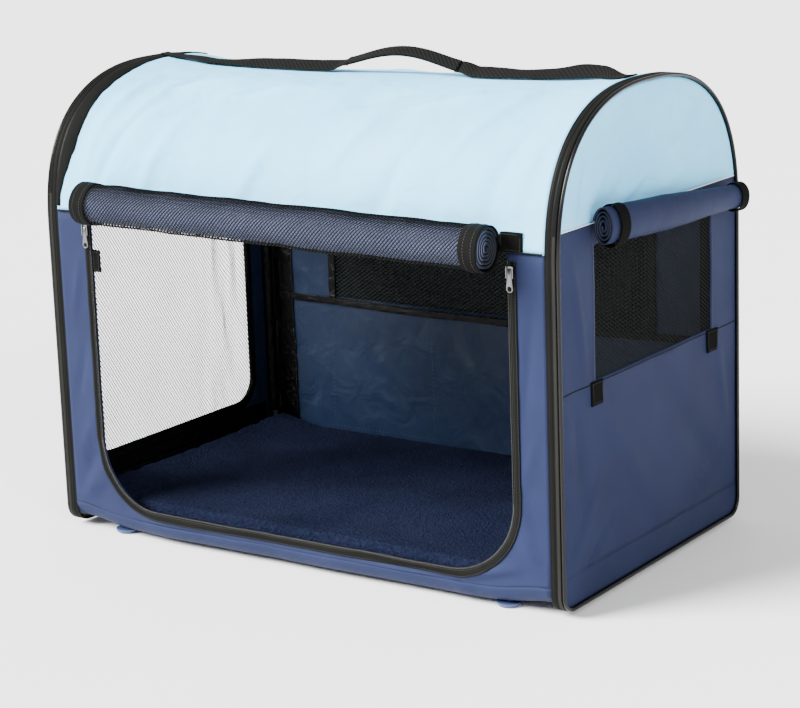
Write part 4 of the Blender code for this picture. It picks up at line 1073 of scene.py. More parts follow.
def merge(name, meshes):
    """Several meshes as one, with their material slots."""
    whole = bpy.data.meshes.new(name)
    slots = []
    with edited(whole) as shape:
        for mesh in meshes:
            first, base = len(shape.faces), len(slots)
            shape.from_mesh(mesh)
            shape.faces.ensure_lookup_table()
            for face in list(shape.faces)[first:]:
                face.material_index += base
            slots += list(mesh.materials)
    for material in slots:
        whole.materials.append(material)
    return whole


def net(name, body, outline, place, families, node, material=net_thread):
    """A net of several thread families. Each is (slant in degrees, pitch, thread radius)."""
    made = [thread_mesh(f"{name}_{number}", [[place(*point) for point in line]
                                             for line in net_lines(outline, radians(slant), pitch)], radius, material)
            for number, (slant, pitch, radius) in enumerate(families)]
    piece(name, merge(name, made), body, "net_black", node)


# %% Nets of the door and the windows
NET_LAP = 0.007


def held_in_frame(across, up, opening, width):
    """Nought at an opening's edge, and one at a width inside it."""
    left, right, bottom, top = opening
    return eased(min(across - left, right - across, up - bottom, top - up) / width)


def left_net_place(y, z):
    """The door's net is slack. It ripples most near the back of the crate."""
    slack = 0.0025 * swell(y, z, 0.07, 6.1) + 0.0060 * eased((y - 0.02) / 0.1) * swell(y * 2.4, z * 0.45, 0.045, 2.7)
    return -0.3941 + max(-0.0025, slack) * held_in_frame(y, z, LEFT_DOOR, 0.03), y, z


def right_net_place(y, z):
    return 0.3928 - 0.0016 * (0.5 + swell(y, z, 0.05, 3.3)) * held_in_frame(y, z, WINDOW, 0.02), y, z


def rear_net_place(x, z):
    return x, REAR_INSIDE - 0.0016 * (0.5 + swell(x, z, 0.06, 8.8)) * held_in_frame(x, z, REAR_WINDOW, 0.02), z


def lapped(opening):
    left, right, bottom, top = opening
    return rectangle(left - NET_LAP, right + NET_LAP, bottom - NET_LAP, top + NET_LAP)


net("left_door_threads", "left_door", door_outline(0.002), left_net_place,
    [(-56, 0.0042, 0.00070), (34, 0.0034, 0.00030)], "left_door_net")
net("right_window_threads", "right_end", lapped(WINDOW), right_net_place,
    [(34, 0.0044, 0.00060), (-34, 0.0044, 0.00060)], "right_window_net")
net("rear_window_threads", "shell", lapped(REAR_WINDOW), rear_net_place,
    [(34, 0.0048, 0.00060), (-34, 0.0048, 0.00060)], "rear_window_net", green_net_thread)
print("nets: made")

# %% [markdown]
# ## The net door's binding
#
# Black woven tape is folded over the door's edge and sewn down, and a wider band runs along the bottom, where the
# zip is. Every wrinkle in it catches the light, which is why it has a glossy material and a lively surface.

# %% Left door binding
BINDING_EDGE = 0.0003


def door_band(name, last, low_last, x, rise, material, outwards, *node):
    """A ring of tape just inside the door's outline, last wide at its sides and low_last wide along the bottom."""
    rows = []
    for share in steps_between(0, 1, 6):
        inset = BINDING_EDGE + (last - BINDING_EDGE) * share
        outline = door_outline(inset, 16)
        row = []
        for (y, z), (y1, z1) in zip(outline, outline[1:] + outline[:1]):
            for part in range(12):
                across, up = y + (y1 - y) * part / 12, z + (z1 - z) * part / 12
                low = 1 - eased((up - LEFT_DOOR[2] - 0.01) / 0.05)
                up += low * (BINDING_EDGE + (low_last - BINDING_EDGE) * share - inset)
                wave = rise * swell(across, up, 0.012, 4.0) * sin(pi * share)
                row.append((x - 0.0009 * sin(pi * share) + wave, across, up))
        rows.append(row)
    sheet(name, rows, [material], outwards, "left_door", "binding_black", *node, thick=0.0008, closed=True)


door_band("door_binding_inner", 0.008, 0.016, -0.3920, 0.0030, black_lining, (1, 0, 0), "left_door_binding")
door_band("door_binding_outer", 0.012, 0.014, -0.3956, 0.0005, binding, (-1, 0, 0))
beads("left_door_coil", [[(-0.3950, y, z) for y, z in door_outline(0.0002, 16)]], 0.0018, (0.0013, 0.0022, 0.0030),
      (0, 0, 1), coil_nylon, "left_door", closed=True)
print("door binding: made")

# %% [markdown]
# ## Rolled cloth
#
# The front door is rolled up over the doorway, and the right window's cover over its net. A roll is one sheet wound
# from its core outwards, so its ends show the layers. The turns aren't quite even, and the sheet's cut edge is paler.

# %% Rolls
# A roll is its start, its end, and a function that gives half its depth and half its height at a share of its length.
def front_roll_size(share):
    dent = 0.0012 * noise.noise(Vector((share * 9, 0.3, 4.0)))
    return 0.0265 + dent, 0.0265 - dent


def cover_size(share):
    """The cover's roll is tight at the rear and loose at the front."""
    pinch = 1 - 0.30 * eased((share - 0.35) / 0.6)
    flat = 1 - 0.20 * (1 - eased(share / 0.25))
    return 0.0185 * pinch * flat, 0.0245 * pinch


ROLL_LOW, ROLL_GAP, ROLL_REACH = 0.4545, 0.0003, 0.028
ROLL_Y = -(half_depth(ROLL_LOW) + ROLL_GAP + ROLL_REACH)
COVER_X = 0.4169
FRONT_ROLL = (Vector((-0.306, ROLL_Y, 0.466)), Vector((0.319, ROLL_Y, ROLL_LOW)), front_roll_size)
COVER_ROLL = (Vector((COVER_X, -0.160, 0.470)), Vector((COVER_X, 0.205, 0.450)), cover_size)
ROLL_LENGTH, COVER_LENGTH = [(end - start).length for start, end, size in (FRONT_ROLL, COVER_ROLL)]
TURN_STEPS = 26


def around_roll(roll, distance, turn, grown=0.0):
    """A point on a roll's outside."""
    start, end, size = roll
    along = (end - start).normalized()
    up = (Vector((0, 0, 1)) - along * along.z).normalized()
    deep, tall = size(distance / (end - start).length)
    side, rise = cos(turn), sin(turn)
    uneven = 1 + 0.035 * noise.noise(Vector((distance * 14, side * 0.9, rise * 0.9 + 1.0)))
    uneven += 0.030 * noise.noise(Vector((distance * 38 + 3.0, side * 1.6, rise * 1.6 + 1.0)))
    return (start + along * distance + along.cross(up) * side * (deep * uneven + grown)
            + up * rise * (tall * uneven + grown))


def facing_out(mesh, roll):
    """Turns a wound sheet's faces away from the roll's axis."""
    start, end, size = roll
    along = (end - start).normalized()

    def away(place):
        side = place - start - SHELL
        return (side - along * side.dot(along)).normalized()
    return turned(mesh, away)


def wound_sheet(name, roll, length, core, turns, last, materials, thick, body, slot, node):
    """A sheet wound round its core. Last is the angle at which its outer edge lies."""
    rows = []
    for distance in steps_between(0, length, 84):
        near, far = around_roll(roll, distance, 0), around_roll(roll, distance, pi)
        middle = far + (near - far) / 2
        row = []
        for share in steps_between(0, 1, turns * TURN_STEPS):
            edge = around_roll(roll, distance, last - 2 * pi * turns * (1 - share))
            row.append(middle + (edge - middle) * (core + (1 - core) * share))
        rows.append(row)
    mesh = facing_out(grid_mesh(name, rows, [*materials, cut_edge]), roll)
    wound = thicken(piece(name, mesh, body, slot, node), thick, 1)
    wound.modifiers["thickness"].material_offset_rim = 2
    return wound


def band_round_roll(name, roll, low, high, proud, material, body, slot):
    """A strip of tape round a roll."""
    turns = steps_between(0, 2 * pi, 64)[:-1]
    rows = grid(steps_between(low, high, 8), turns, lambda distance, turn: around_roll(roll, distance, turn, proud))
    return thicken(piece(name, facing_out(grid_mesh(name, rows, [material], closed=True), roll), body, slot), 0.0010)


# %% Front door, rolled up
FRONT_ROLL_EDGE = pi - 0.45
ROLL_BARE = 0.015


def roll_threads(name, sign, slope, radius, pitch=0.0052):
    """The net's threads, which wind round the roll on a slant."""
    lines = []
    for k in range(-34, 160):
        line = []
        for share in steps_between(0, 1, 24):
            distance = pitch * k + sign * slope * 2 * pi * (share - 0.5)
            if ROLL_BARE < distance < ROLL_LENGTH - ROLL_BARE:
                line.append(around_roll(FRONT_ROLL, distance, FRONT_ROLL_EDGE - 2 * pi * share, 0.0002))
            elif len(line) > 1:
                break
        if len(line) > 1:
            lines.append(line)
    threads(name, lines, radius, dark_thread, 3, "shell", "rolled_net")


def make_front_roll():
    # The roll's outer face is the lightened navy cloth, with painted highlights.
    roll = wound_sheet("front_rolled_door", FRONT_ROLL, ROLL_LENGTH, 0.14, 5, FRONT_ROLL_EDGE,
                       [rolled_navy_painted_highlights, black_lining], 0.0030, "shell", "rolled_net", "front_door_roll")
    roll_threads("front_roll_bold_threads", -1, 0.026, 0.00080)
    roll_threads("front_roll_fine_threads", 1, 0.020, 0.00042)
    for number, (low, high) in enumerate(((-0.002, 0.023), (ROLL_LENGTH - 0.023, ROLL_LENGTH + 0.002))):
        band_round_roll(f"front_roll_band_{number}", FRONT_ROLL, low, high, 0.0016, zip_tape, "shell", "binding_black")
        seams = grid((low + 0.007, high - 0.007), steps_between(0, 2 * pi, 60),
                     lambda distance, turn: around_roll(FRONT_ROLL, distance, turn, 0.0019))
        beads(f"front_roll_stitches_{number}", seams, 0.0036, (0.0026, 0.0007, 0.0007), (1, 0, 0), black_stitch,
              "shell")


# %% Right window cover, rolled up
def make_cover_roll():
    roll = wound_sheet("right_rolled_cover", COVER_ROLL, COVER_LENGTH, 0.20, 4, pi - 0.3, NAVY, 0.0018,
                       "right_end", "navy_cloth", "right_window_roll")
    for row, low, high in (("front", 0.016, 0.037), ("rear", COVER_LENGTH - 0.025, COVER_LENGTH - 0.005)):
        strap = band_round_roll(f"cover_strap_{row}", COVER_ROLL, low, high, 0.0018, hook_tape, "right_end",
                                "webbing_black")
        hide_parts(f"right_roll_{row}_strap")


make_front_roll()
make_cover_roll()
print("rolls: made")

# %% [markdown]
# ## The ridge webbing and the carry handle
#
# Polypropylene webbing is sewn along the ridge, and a second piece is folded into a grip. The webbing follows the
# sagging roof and rises at the grip's ends. The grip hinges there, so it is a piece of its own.

# %% Ridge webbing
handle_low, handle_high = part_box("carry_handle")
HANDLE_LEFT, HANDLE_RIGHT = handle_low.x - SHELL.x, handle_high.x - SHELL.x
HANDLE_Z = handle_low.z - 0.0065
RAMP = 0.026


def webbing_mesh(name, places, width, thickness):
    """Flat webbing along places, each (centre, across) with its direction across."""
    shares = steps_between(-1, 1, 10)
    rows = []
    for up, order in ((1, shares), (0, shares[::-1])):
        for share in order:
            row = []
            for index, (centre, across) in enumerate(places):
                before, after = places[max(0, index - 1)][0], places[min(len(places) - 1, index + 1)][0]
                out = Vector(across).cross(Vector(before) - Vector(after)).normalized()
                lift = thickness * up * (1 if abs(share) < 0.99 else 0.75)
                row.append(Vector(centre) + Vector(across) * share * width / 2 + out * lift)
            rows.append(row)
    return close_ends(grid_mesh(name, rows + rows[:1], [webbing]))


def grip_lean(share):
    """The grip's twist, from its left end to its right end."""
    return radians(20 + 20 * share)


def strap_lean(x):
    """How far the webbing's back edge stands up. It lies flat at the arches and is twisted up between them."""
    held = (0.15 * eased((x + WALL_END) / 0.040) + 0.85 * eased((x + 0.290) / 0.120)) * (1 - eased((x - 0.325) / 0.045))
    bump = 14 * exp(-(((x - 0.300) / 0.028) ** 2)) - 7 * exp(-(((x - 0.210) / 0.030) ** 2))
    return radians(held * (22 + bump + 5 * swell(x, 0.0, 0.09, 5.5)))


def strap_place(x):
    """The webbing's centre and direction across, at a place along the ridge."""
    edge = HANDLE_RIGHT if x > 0 else HANDLE_LEFT
    to_grip = eased(1 - abs(x - edge) / RAMP) if abs(x) > abs(edge) else 1.0
    lean = strap_lean(x) + (grip_lean(0 if x < 0 else 1) - strap_lean(x)) * to_grip
    at_left, at_right = eased((-0.275 - x) / 0.070), eased((x - 0.325) / 0.042)
    width = 1 - 0.30 * at_left + 0.15 * at_right - 0.30 * to_grip
    lift = 0.0019 + 0.0020 * exp(-(((x + 0.315) / 0.035) ** 2)) + 0.0010 * abs(swell(x, 0.2, 0.05, 1.5))
    low = on_roof(x, len(roof_rows[0]) // 2)[0].z + lift + 0.0135 * width * abs(sin(lean))
    low -= 0.0016 * at_right + 0.0004 * at_left
    y = (0.003 * swell(x, 0, 0.12, 9.9) - 0.017 * at_right + 0.004 * at_left) * (1 - to_grip)
    return (x, y, low + (HANDLE_Z - low) * to_grip), (0, cos(lean) * width, sin(lean) * width)


def make_ridge_strap():
    spans = ((-WALL_END + 0.001, HANDLE_LEFT + 0.004), (HANDLE_RIGHT - 0.004, WALL_END - 0.001))
    halves = [webbing_mesh(f"ridge_webbing_{number}", [strap_place(x) for x in steps_between(*span, 90)], 0.027, 0.0019)
              for number, span in enumerate(spans)]
    piece("ridge_webbing", merge("ridge_webbing", halves), "shell", "webbing_black", "ridge_strap")


# %% Carry handle
def make_handle():
    places = []
    for share in steps_between(0, 1, 60):
        x, lean = HANDLE_LEFT + (HANDLE_RIGHT - HANDLE_LEFT) * share, grip_lean(share)
        places.append(((x, 0.0, HANDLE_Z + 0.0165 * sin(pi * share) ** 1.2), (0, cos(lean), sin(lean))))
    piece("carry_grip", webbing_mesh("carry_grip", places, 0.0175, 0.0046), "carry_handle", "webbing_black",
          "carry_handle")
    seams = grid((-0.0058, 0.0058), places,
                 lambda side, place: Vector(place[0]) + Vector(place[1]) * side + Vector((0, 0, 0.0048)))
    beads("carry_grip_stitches", seams, 0.0036, (0.0026, 0.0006, 0.0006), (0, 0, 1), black_stitch, "carry_handle",
          "webbing_black")


make_ridge_strap()
make_handle()
print("ridge webbing and handle: made")

# %% [markdown]
# ## Tabs
#
# Small squares of hook tape hold the rolls and the window's cover. Each is a slightly curled pad with a stitched
# border.

# %% Hook tabs
TAB_SEAM = 0.003


def tab(name, place, width, height, body, node, curl=0.0008, outwards=(1, 0, 0)):
    """A square tab. Place turns (across, up, proud), measured from its middle, into the shell's coordinates."""
    def on_pad(up, across):
        edge = max(abs(across), abs(up))
        proud = 0.0018 - 0.0010 * eased((edge - 0.82) / 0.18) + curl * across * up
        return place(across * width / 2, up * height / 2, proud)

    rows = grid(steps_between(-1, 1, 12), steps_between(-1, 1, 12), on_pad)
    sheet(name, rows, [hook_tape], outwards, body, "webbing_black", *([node] if node else []), thick=0.0014)
    border = rectangle(TAB_SEAM - width / 2, width / 2 - TAB_SEAM, TAB_SEAM - height / 2, height / 2 - TAB_SEAM)
    lines = [[place(x, y, 0.0020) for x, y in zip(steps_between(x0, x1, 8), steps_between(y0, y1, 8))]
             for (x0, y0), (x1, y1) in zip(border, border[1:] + border[:1])]
    beads(name + "_stitches", lines, 0.0026, (0.0020, 0.0007, 0.0007), outwards, tab_stitch, body, "webbing_black")


def make_tabs():
    for row, y in (("front", WINDOW[0]), ("rear", WINDOW[1])):
        def by_window(across, up, proud, y=y, z=WINDOW[2] - 0.0153):
            return PANEL_X + max(0.0, end_fold(y + across, z + up)) + 0.0004 + proud, y + across, z + up
        tab(f"window_tab_{row}", by_window, 0.028, 0.030, "right_end", f"right_window_{row}_tab")

    def by_roll(across, up, proud):
        z = 0.4590 + up
        return 0.3350 + across, -half_depth(z) - 0.0004 - proud, z

    def by_doorway(across, up, proud):
        return -0.3165 + across, -half_depth(0.382) + 0.0024 + 0.0008 * sin(60 * up) - proud, 0.382 + up

    tab("roll_tab_right", by_roll, 0.033, 0.0245, "shell", "front_roll_tab", 0.0012, (0, -1, 0))
    tab("doorway_tab_left", by_doorway, 0.014, 0.030, "shell", None, 0.0012, (0, -1, 0))


make_tabs()
print("tabs: made")

# %% [markdown]
# ## Behind the crate
#
# The rear window's cover hangs closed outside the net, held by tabs at its lower corners. Below it is an open-topped
# pocket with a gusset.

# %% Rear window cover
COVER_HALF, COVER_BOTTOM, COVER_TOP, COVER_Y = 0.285, 0.228, 0.433, 0.2373
COVER_TAB_X, COVER_TAB_Z = 0.262, 0.243


def flap_place(x, z, proud=0.0):
    ripple = 0.0018 * (1 + swell(x, z * 0.35, 0.06, 6.6)) * eased((0.425 - z) / 0.12)
    return x, COVER_Y + ripple + proud, z


def make_rear_cover():
    rows = grid(steps_between(COVER_BOTTOM, COVER_TOP, 36), steps_between(-COVER_HALF, COVER_HALF, 90),
                lambda z, x: flap_place(x, z))
    cover = sheet("rear_cover", rows, NAVY_OVER_BLACK, (0, 1, 0), "rear_flap", "navy_cloth", "rear_flap", thick=0.0018,
                  flat=(0, 2))
    edge = [(-COVER_HALF, COVER_TOP), (-COVER_HALF, COVER_BOTTOM), (COVER_HALF, COVER_BOTTOM), (COVER_HALF, COVER_TOP)]
    for number, ((x0, z0), (x1, z1)) in enumerate(zip(edge, edge[1:])):
        inwards = Vector((z0 - z1, 0, x1 - x0)).normalized()
        rows = [[Vector(flap_place(x, z, lift)) + inwards * inward
                 for x, z in zip(steps_between(x0, x1, 60), steps_between(z0, z1, 60))]
                for inward, lift in ((0, 0.0003), (0.0015, 0.0007), (0.0105, 0.0007), (0.012, 0.0003))]
        sheet(f"rear_cover_hem_{number}", rows, [binding], (0, 1, 0), "rear_flap", "binding_black", thick=0.0006)
    for side, sign in SIDES:
        def place(across, up, proud, x=sign * COVER_TAB_X):
            return x - across, flap_place(x, COVER_TAB_Z + up)[1] + 0.0007 + proud, COVER_TAB_Z + up
        tab(f"cover_tab_{side}", place, 0.026, 0.026, "rear_flap", None, 0.0006, (0, 1, 0))


# %% Rear pocket
POCKET_Y = 0.2353
POCKET_SEAM = 0.004


def make_pocket():
    low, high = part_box("rear_pocket")
    left, right, bottom, top = low.x - SHELL.x, high.x - SHELL.x, low.z, high.z

    def place(z, x):
        share, edge = (z - bottom) / (top - bottom), min(x - left, right - x)
        depth = 0.0118 * eased(share / 0.18) * (0.86 + 0.14 * share) + 0.0003
        bulge = depth * (0.25 + 0.75 * eased(edge / 0.010)) if 0 < edge else 0.0003
        slack = 0.0012 * (1 + swell(x, z, 0.05, 1.1)) * eased(edge / 0.03)
        return x, POCKET_Y + max(0.0003, bulge - slack), z

    rows = grid(steps_between(bottom, top, 30), steps_between(left, right, 56), place)
    pocket = sheet("rear_pocket_cloth", rows, NAVY, (0, 1, 0), "shell", "navy_cloth", "rear_pocket", thick=0.0012)
    hem = grid(((0.0, 0.0), (0.0012, 0.0), (0.0012, -0.011), (0.0, -0.011)), rows[-1],
               lambda shift, point: Vector(point) + Vector((0, *shift)))
    sheet("pocket_hem", hem, [binding], (0, 1, 0), "shell", "binding_black", thick=0.0006)
    lines = grid((left + POCKET_SEAM, right - POCKET_SEAM), steps_between(bottom, top, 40), lambda x, z: (x, z))
    lines.append([(x, bottom + POCKET_SEAM) for x in steps_between(left, right, 40)])
    lines = [[(x, REAR_INSIDE + inward_fold(x, z), z) for x, z in line] for line in lines]
    beads("pocket_stitches", lines, 0.0064, (0.0026, 0.0007, 0.0007), (0, 1, 0), faint_stitch, "shell", "navy_cloth")


make_rear_cover()
make_pocket()
print("rear cover and pocket: made")

# %% [markdown]
# ## Inside
#
# The steel arches run in sleeves of coated black cloth. Wide black tape covers the seams in the rear corners, and a
# belt of it crosses the rear wall under the window. All of it is glossy and creased, so it shows as thin glints.

# %% Sleeves
TUBE_X, TUBE_INSET = 0.3872, 0.0115
SLEEVE_WIDE, SLEEVE_DEEP, SLEEVE_BOTTOM = 0.0077, 0.0074, 0.0600


def make_sleeves():
    line = [(-half_depth(SPRING, TUBE_INSET), z) for z in steps_between(SLEEVE_BOTTOM, SPRING, 60)[:-1]]
    line += arch(TUBE_INSET, SPRING, 80) + [(-y, z) for y, z in reversed(line)]
    for side, sign in SIDES:
        rows = [[] for turn in range(17)]
        for index, (y, z) in enumerate(line):
            (y0, z0), (y1, z1) = line[max(0, index - 1)], line[min(len(line) - 1, index + 1)]
            out = Vector((0, z0 - z1, y1 - y0)).normalized()
            for row, turn in zip(rows, steps_between(0, 2 * pi, 16)):
                crumple = 1 + 0.10 * noise.noise(Vector((cos(turn) * 1.5, index * 0.35, sin(turn) * 1.5 + sign)))
                across = 0.0012 - SLEEVE_WIDE * cos(turn) * (crumple if cos(turn) < 0 else 1)
                rise = sin(turn) * SLEEVE_DEEP * min(1.0, crumple)
                row.append(Vector((sign * (TUBE_X - across), y, z)) + out * rise)
        mesh = close_ends(grid_mesh(f"{side}_tube_sleeve", rows, [black_lining]))
        piece(f"{side}_tube_sleeve", mesh, f"{side}_end", "binding_black")


# %% Inner tapes
def on_rear(x, z, proud):
    """A place inside the rear wall, which follows its folds."""
    return x, half_depth(z, CLOTH) - proud + inward_fold(x, z), z


def inner_tape(name, firsts, seconds, place, outwards=(0, -1, 0), body="shell", thick=0.0007, grow=1):
    sheet(name, grid(firsts, seconds, place), [black_lining], outwards, body, "binding_black", thick=thick, grow=grow)


def make_inner_tapes():
    shares = steps_between(-1, 1, 8)
    for side, sign in SIDES:
        def corner_tape(across, z):
            crease = 0.0008 * max(0.0, swell(across * 3, z, 0.02, 3.0 + sign)) * sin(pi * across / 0.036)
            return on_rear(sign * (0.3795 - across), z, 0.0008 + crease)

        def window_tape(across, z):
            wave = 0.0016 * swell(0.2, z, 0.03, 5.0 + sign)
            crease = 0.0018 * max(0.0, swell(across * 0.01, z, 0.014, 7.6)) * (1 - across * across)
            return on_rear(sign * 0.270 + wave + across * 0.006, z, 0.0016 + crease)

        inner_tape(f"{side}_corner_tape", steps_between(0.0, 0.036, 10), steps_between(0.040, 0.442, 90), corner_tape)
        inner_tape(f"{side}_window_tape", shares, steps_between(0.245, 0.432, 70), window_tape)
        line = [[on_rear(sign * 0.3440, z, 0.0012) for z in steps_between(0.050, 0.440, 80)]]
        beads(f"{side}_corner_coil", line, 0.0042, (0.0030, 0.0032, 0.0014), (0, 1, 0), coil_gloss, "shell")

    def belt(up, x):
        sag = -0.007 * (1 - (x / 0.372) ** 2) + 0.0018 * swell(x, 0.4, 0.11, 2.6)
        crease = 0.0014 * max(0.0, swell(x, up * 0.01, 0.03, 4.6)) * (1 - up * up)
        return x, 0.2300 - crease + inward_fold(x, 0.236), 0.2430 + sag + up * 0.0050

    def sill_tape(up, y):
        return -PANEL_X + 0.0024 + 0.0016 * max(0.0, swell(y, up * 2, 0.018, 1.9)), y, up

    inner_tape("rear_belt", shares, steps_between(-0.372, 0.372, 150), belt)
    inner_tape("left_sill_tape", steps_between(0.0502, 0.0745, 6), steps_between(-0.190, 0.214, 110), sill_tape,
               (1, 0, 0), "left_end", 0.0005, -1)


make_sleeves()
make_inner_tapes()
print("sleeves and inner tapes: made")

# %% [markdown]
# ## Seams
#
# A fine pale line of cut lining shows where the sky-blue top meets the navy part of each end, and the roof's two
# seams are turned under in the same way. The window's sides have a faint row of stitches.

# %% Seam lines
SEAM_END = WALL_END - 0.001


def on_right_end(line, proud):
    return [(PANEL_X + end_fold(y, z) + proud, y, z) for y, z in line]


def make_seams():
    half = half_depth(END_SEAM, PANEL_INSET) - 0.001
    for side, sign in SIDES:
        line = [(sign * (PANEL_X + 0.0004), y, END_SEAM - 0.0002) for y in steps_between(-half, half, 60)]
        threads(f"{side}_end_seam", [line], 0.0008, seam_white, 6, f"{side}_end", "sky_cloth")
    half = half_depth(WINDOW[2], PANEL_INSET) - 0.001
    joint = [(y, WINDOW[2] - 0.0035) for y in steps_between(-half, half, 110)]
    threads("right_end_joint", [on_right_end(joint, 0.0002)], 0.0007, dark_thread, 6, "right_end", "navy_cloth")
    hems = grid((WINDOW[0] - 0.0035, WINDOW[1] + 0.0035), steps_between(WINDOW[2] + 0.001, WINDOW[3], 50),
                lambda y, z: (y, z))
    beads("right_window_hem", [on_right_end(line, 0.0005) for line in hems], 0.0036, (0.0030, 0.0009, 0.0009),
          (1, 0, 0), faint_stitch, "right_end", "navy_cloth")
    for row, sign, spans in (("front", -1, [(-SEAM_END, -0.334), (0.342, SEAM_END)]),
                             ("rear", 1, [(-WALL_END, WALL_END)])):
        y = sign * (half_depth(FRONT_SEAM) + 0.0003)
        lines = [[(x, y, FRONT_SEAM) for x in steps_between(*span, 40)] for span in spans]
        threads(f"{row}_roof_seam", lines, 0.0008, seam_white, 6, "shell", "sky_cloth")


make_seams()
print("seams: made")

# %% [markdown]
# ## The fleece mat
#
# The mat is foam in a deep-pile fleece cover. Its box is remeshed, blown up a little by Blender's cloth with some
# pressure, and held inside the space that the construction model gives it. The pile is a fine displacement on top
# of that, with the rest of the curl in the material.

# %% Fleece
def make_fleece():
    material, tree, shader = blank("fleece", 0.95, Specular_IOR_Level=0.03)
    curls, tufts, wear = noises(
        tree,
        ("ShaderNodeTexVoronoi", {"Scale": 320.0, "Randomness": 1.0}),
        ("ShaderNodeTexNoise", {"Scale": 170.0, "Detail": 4.0, "Roughness": 0.65}),
        ("ShaderNodeTexNoise", {"Scale": 11.0, "Detail": 2.0}),
    )
    curl, tuft = curls.outputs["Distance"], tufts.outputs["Fac"]
    tone = mix_height(tree, [(tuft, 0.55), (wear.outputs["Fac"], 0.35), (curl, 0.20)])
    paint(tree, shader, tone, ((0.0017, 0.0026, 0.008), (0.0095, 0.0125, 0.030)), (0.35, 0.75),
          mix_height(tree, [(tuft, 1.0), (curl, 0.6)]), 1.0, 0.0022)
    return material


fleece = make_fleece()


# %% Mat
def mat_block(low, high):
    """The mat's box with round edges, a little inside the construction model's."""
    mesh = bpy.data.meshes.new("fleece_mat")
    with edited(mesh) as shape:
        bmesh.ops.create_cube(shape, size=1)
        bmesh.ops.scale(shape, vec=high - low - Vector((0.006, 0.006, 0.0045)), verts=shape.verts)
        bmesh.ops.translate(shape, vec=(low + high) / 2 - Vector((0, 0, 0.0006)), verts=shape.verts)
        bmesh.ops.bevel(shape, geom=list(shape.edges), offset=0.0062, segments=4, profile=0.5, affect="EDGES")
    return mesh


def apply_modifiers(obj):
    """Puts what the modifiers make into the mesh itself."""
    mesh = modified_mesh(obj)
    obj.modifiers.clear()
    obj.data = mesh
    return mesh


def puff_up(obj, pressure, frames, most):
    """Blows a closed mesh up with cloth pressure. No point moves further than most."""
    rest = np.empty(len(obj.data.vertices) * 3, np.float32)
    obj.data.vertices.foreach_get("co", rest)
    cloth = obj.modifiers.new("cloth", "CLOTH")
    cloth.settings.quality = 5
    cloth.settings.mass = 0.3
    cloth.settings.use_pressure = True
    cloth.settings.uniform_pressure_force = pressure
    cloth.settings.tension_stiffness = cloth.settings.compression_stiffness = 20
    cloth.settings.bending_stiffness = 8
    cloth.settings.effector_weights.gravity = 0
    cloth.collision_settings.use_collision = False
    scene = bpy.context.scene
    for frame_number in range(1, frames + 1):
        scene.frame_set(frame_number)
    made = np.empty_like(rest)
    graph = bpy.context.evaluated_depsgraph_get()
    obj.evaluated_get(graph).data.vertices.foreach_get("co", made)
    obj.modifiers.clear()
    scene.frame_set(1)
    move = (made - rest).reshape(-1, 3)
    far = np.linalg.norm(move, axis=1, keepdims=True)
    move *= np.minimum(1.0, most / np.maximum(far, 1e-9))
    obj.data.vertices.foreach_set("co", (rest.reshape(-1, 3) + move).ravel())
    obj.data.update()


def lay_pile(mesh, low, high):
    """Displaces the upper faces into tufts, keeps them in the mat's box, and lifts the edge by the left end."""
    points = np.empty(len(mesh.vertices) * 3, np.float32)
    normals = np.empty_like(points)
    mesh.vertices.foreach_get("co", points)
    mesh.vertices.foreach_get("normal", normals)
    points, normals = points.reshape(-1, 3), normals.reshape(-1, 3)
    for index, (point, normal) in enumerate(zip(points, normals)):
        if normal[2] > -0.2:
            tuft = 0.0011 * noise.noise(Vector(point) * 190) + 0.0009 * noise.noise(Vector(point) * 26)
            points[index] = point + normal * tuft
    bottom, top = low.z + 0.0002, high.z + 0.0002
    points[:, 2] = np.clip(points[:, 2], bottom, top)
    points[:, 0] = np.clip(points[:, 0], low.x - 0.001, high.x + 0.001)
    points[:, 1] = np.clip(points[:, 1], low.y - 0.001, high.y + 0.001)
    near_end = np.clip((low.x + 0.095 - points[:, 0]) / 0.095, 0, 1) ** 2
    points[:, 2] += 0.020 * near_end * (points[:, 2] - bottom) / (top - bottom)
    mesh.vertices.foreach_set("co", points.ravel())


def make_mat():
    low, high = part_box("floor_mat")
    mat = placed("fleece_mat", mat_block(low, high))
    remesh = mat.modifiers.new("remesh", "REMESH")
    remesh.mode, remesh.voxel_size = "VOXEL", 0.0055
    apply_modifiers(mat)
    puff_up(mat, 4.0, 14, 0.006)
    finer = mat.modifiers.new("finer", "SUBSURF")
    finer.levels = finer.render_levels = 1
    mesh = apply_modifiers(mat)
    lay_pile(mesh, low, high)
    mesh.shade_smooth()
    mesh.materials.clear()
    mesh.materials.append(fleece)
    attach(mat, "shell")
    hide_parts("floor_mat")
    print("mat:", len(mesh.polygons), "faces")


make_mat()

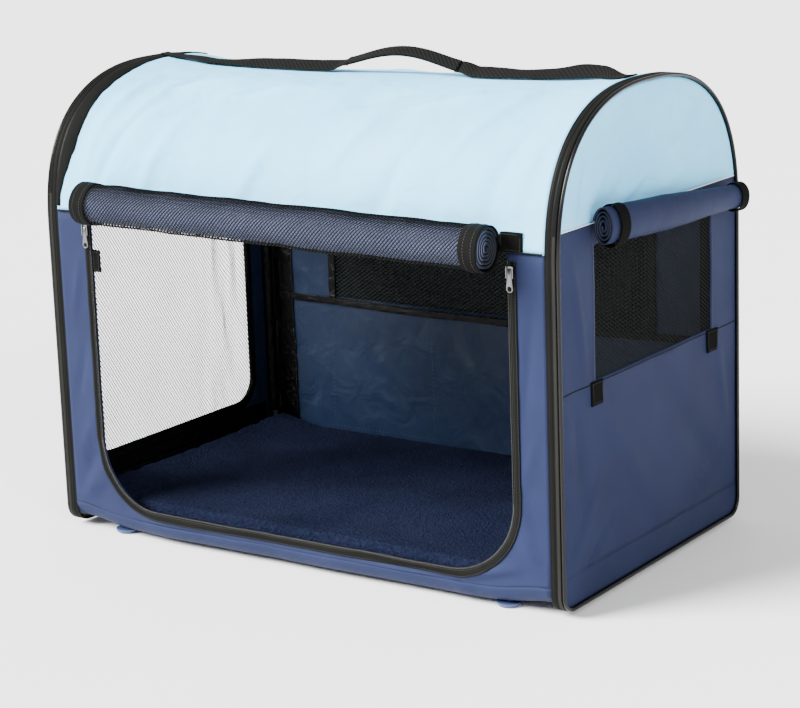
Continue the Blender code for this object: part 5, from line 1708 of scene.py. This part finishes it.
# %% [markdown]
# ## Metal, plastic and board
#
# What the construction model already has in its true shape keeps it, and only gets a finish: the steel frame, its
# brackets and pins, the board, the feet and the zip sliders. Only the pulls are drawn again, with their ring ends.

# %% Pulls
RING, HOLE, NECK, PULL_DEPTH = 0.0046, 0.0030, 0.0021, 0.0008


def make_pull(node):
    """A flat pull that widens to a ring. Its outline is drawn round the hole's centre, with a small edge break."""
    low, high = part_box(node)
    middle = (low + high) / 2 - SHELL
    along, thin = Vector((1, 0, 0)), Vector((0, 1, 0))
    if high.x - low.x < high.y - low.y:
        along, thin = thin, along
    centre = Vector((middle.x, middle.y, low.z + RING))
    top = high.z - centre.z
    outline = [(RING * cos(pi * k / 24), RING * sin(pi * k / 24)) for k in range(-26, 3)]
    outline += [(RING + (NECK - RING) * share, top * share) for share in steps_between(0.06, 1, 10)]
    outline += [(NECK * (1 - 2 * share), top) for share in steps_between(0, 1, 6)[1:-1]]
    outline += [(-NECK + (NECK - RING) * (1 - share), top * share) for share in steps_between(1, 0.06, 10)]

    def place(section, flat):
        outer, inset, side = section
        reach = hypot(*flat)
        at = (reach if outer else HOLE) + inset
        return (centre + along * (flat[0] / reach * at) + Vector((0, 0, flat[1] / reach * at))
                + thin * (side * PULL_DEPTH))

    face = [(0, 0, 0.7), (0, 0.0003, 1), (1, -0.0003, 1), (1, 0, 0.7)]
    section = [(outer, inset, -side) for outer, inset, side in face] + face[::-1]
    rows = grid(section + section[:1], outline, place)
    piece(node + "_plate", grid_mesh(node + "_plate", rows, [plated_zinc], closed=True), node, "zip_metal", node)


# %% Finishes for the frame's own pieces
FINISHES = {"hinge_pin": plated_zinc, "slider": plated_zinc, "bracket": moulded_black, "foot": moulded_navy,
            "tube": coated_steel, "hoop": coated_steel, "rail": coated_steel, "base_board": hardboard}


def finish_hardware():
    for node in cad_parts:
        if node.endswith("pull"):
            make_pull(node)
    for node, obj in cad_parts.items():
        for word, material in FINISHES.items():
            if word in node:
                obj.data.materials.clear()
                obj.data.materials.append(material)


finish_hardware()
print("hardware: finished")
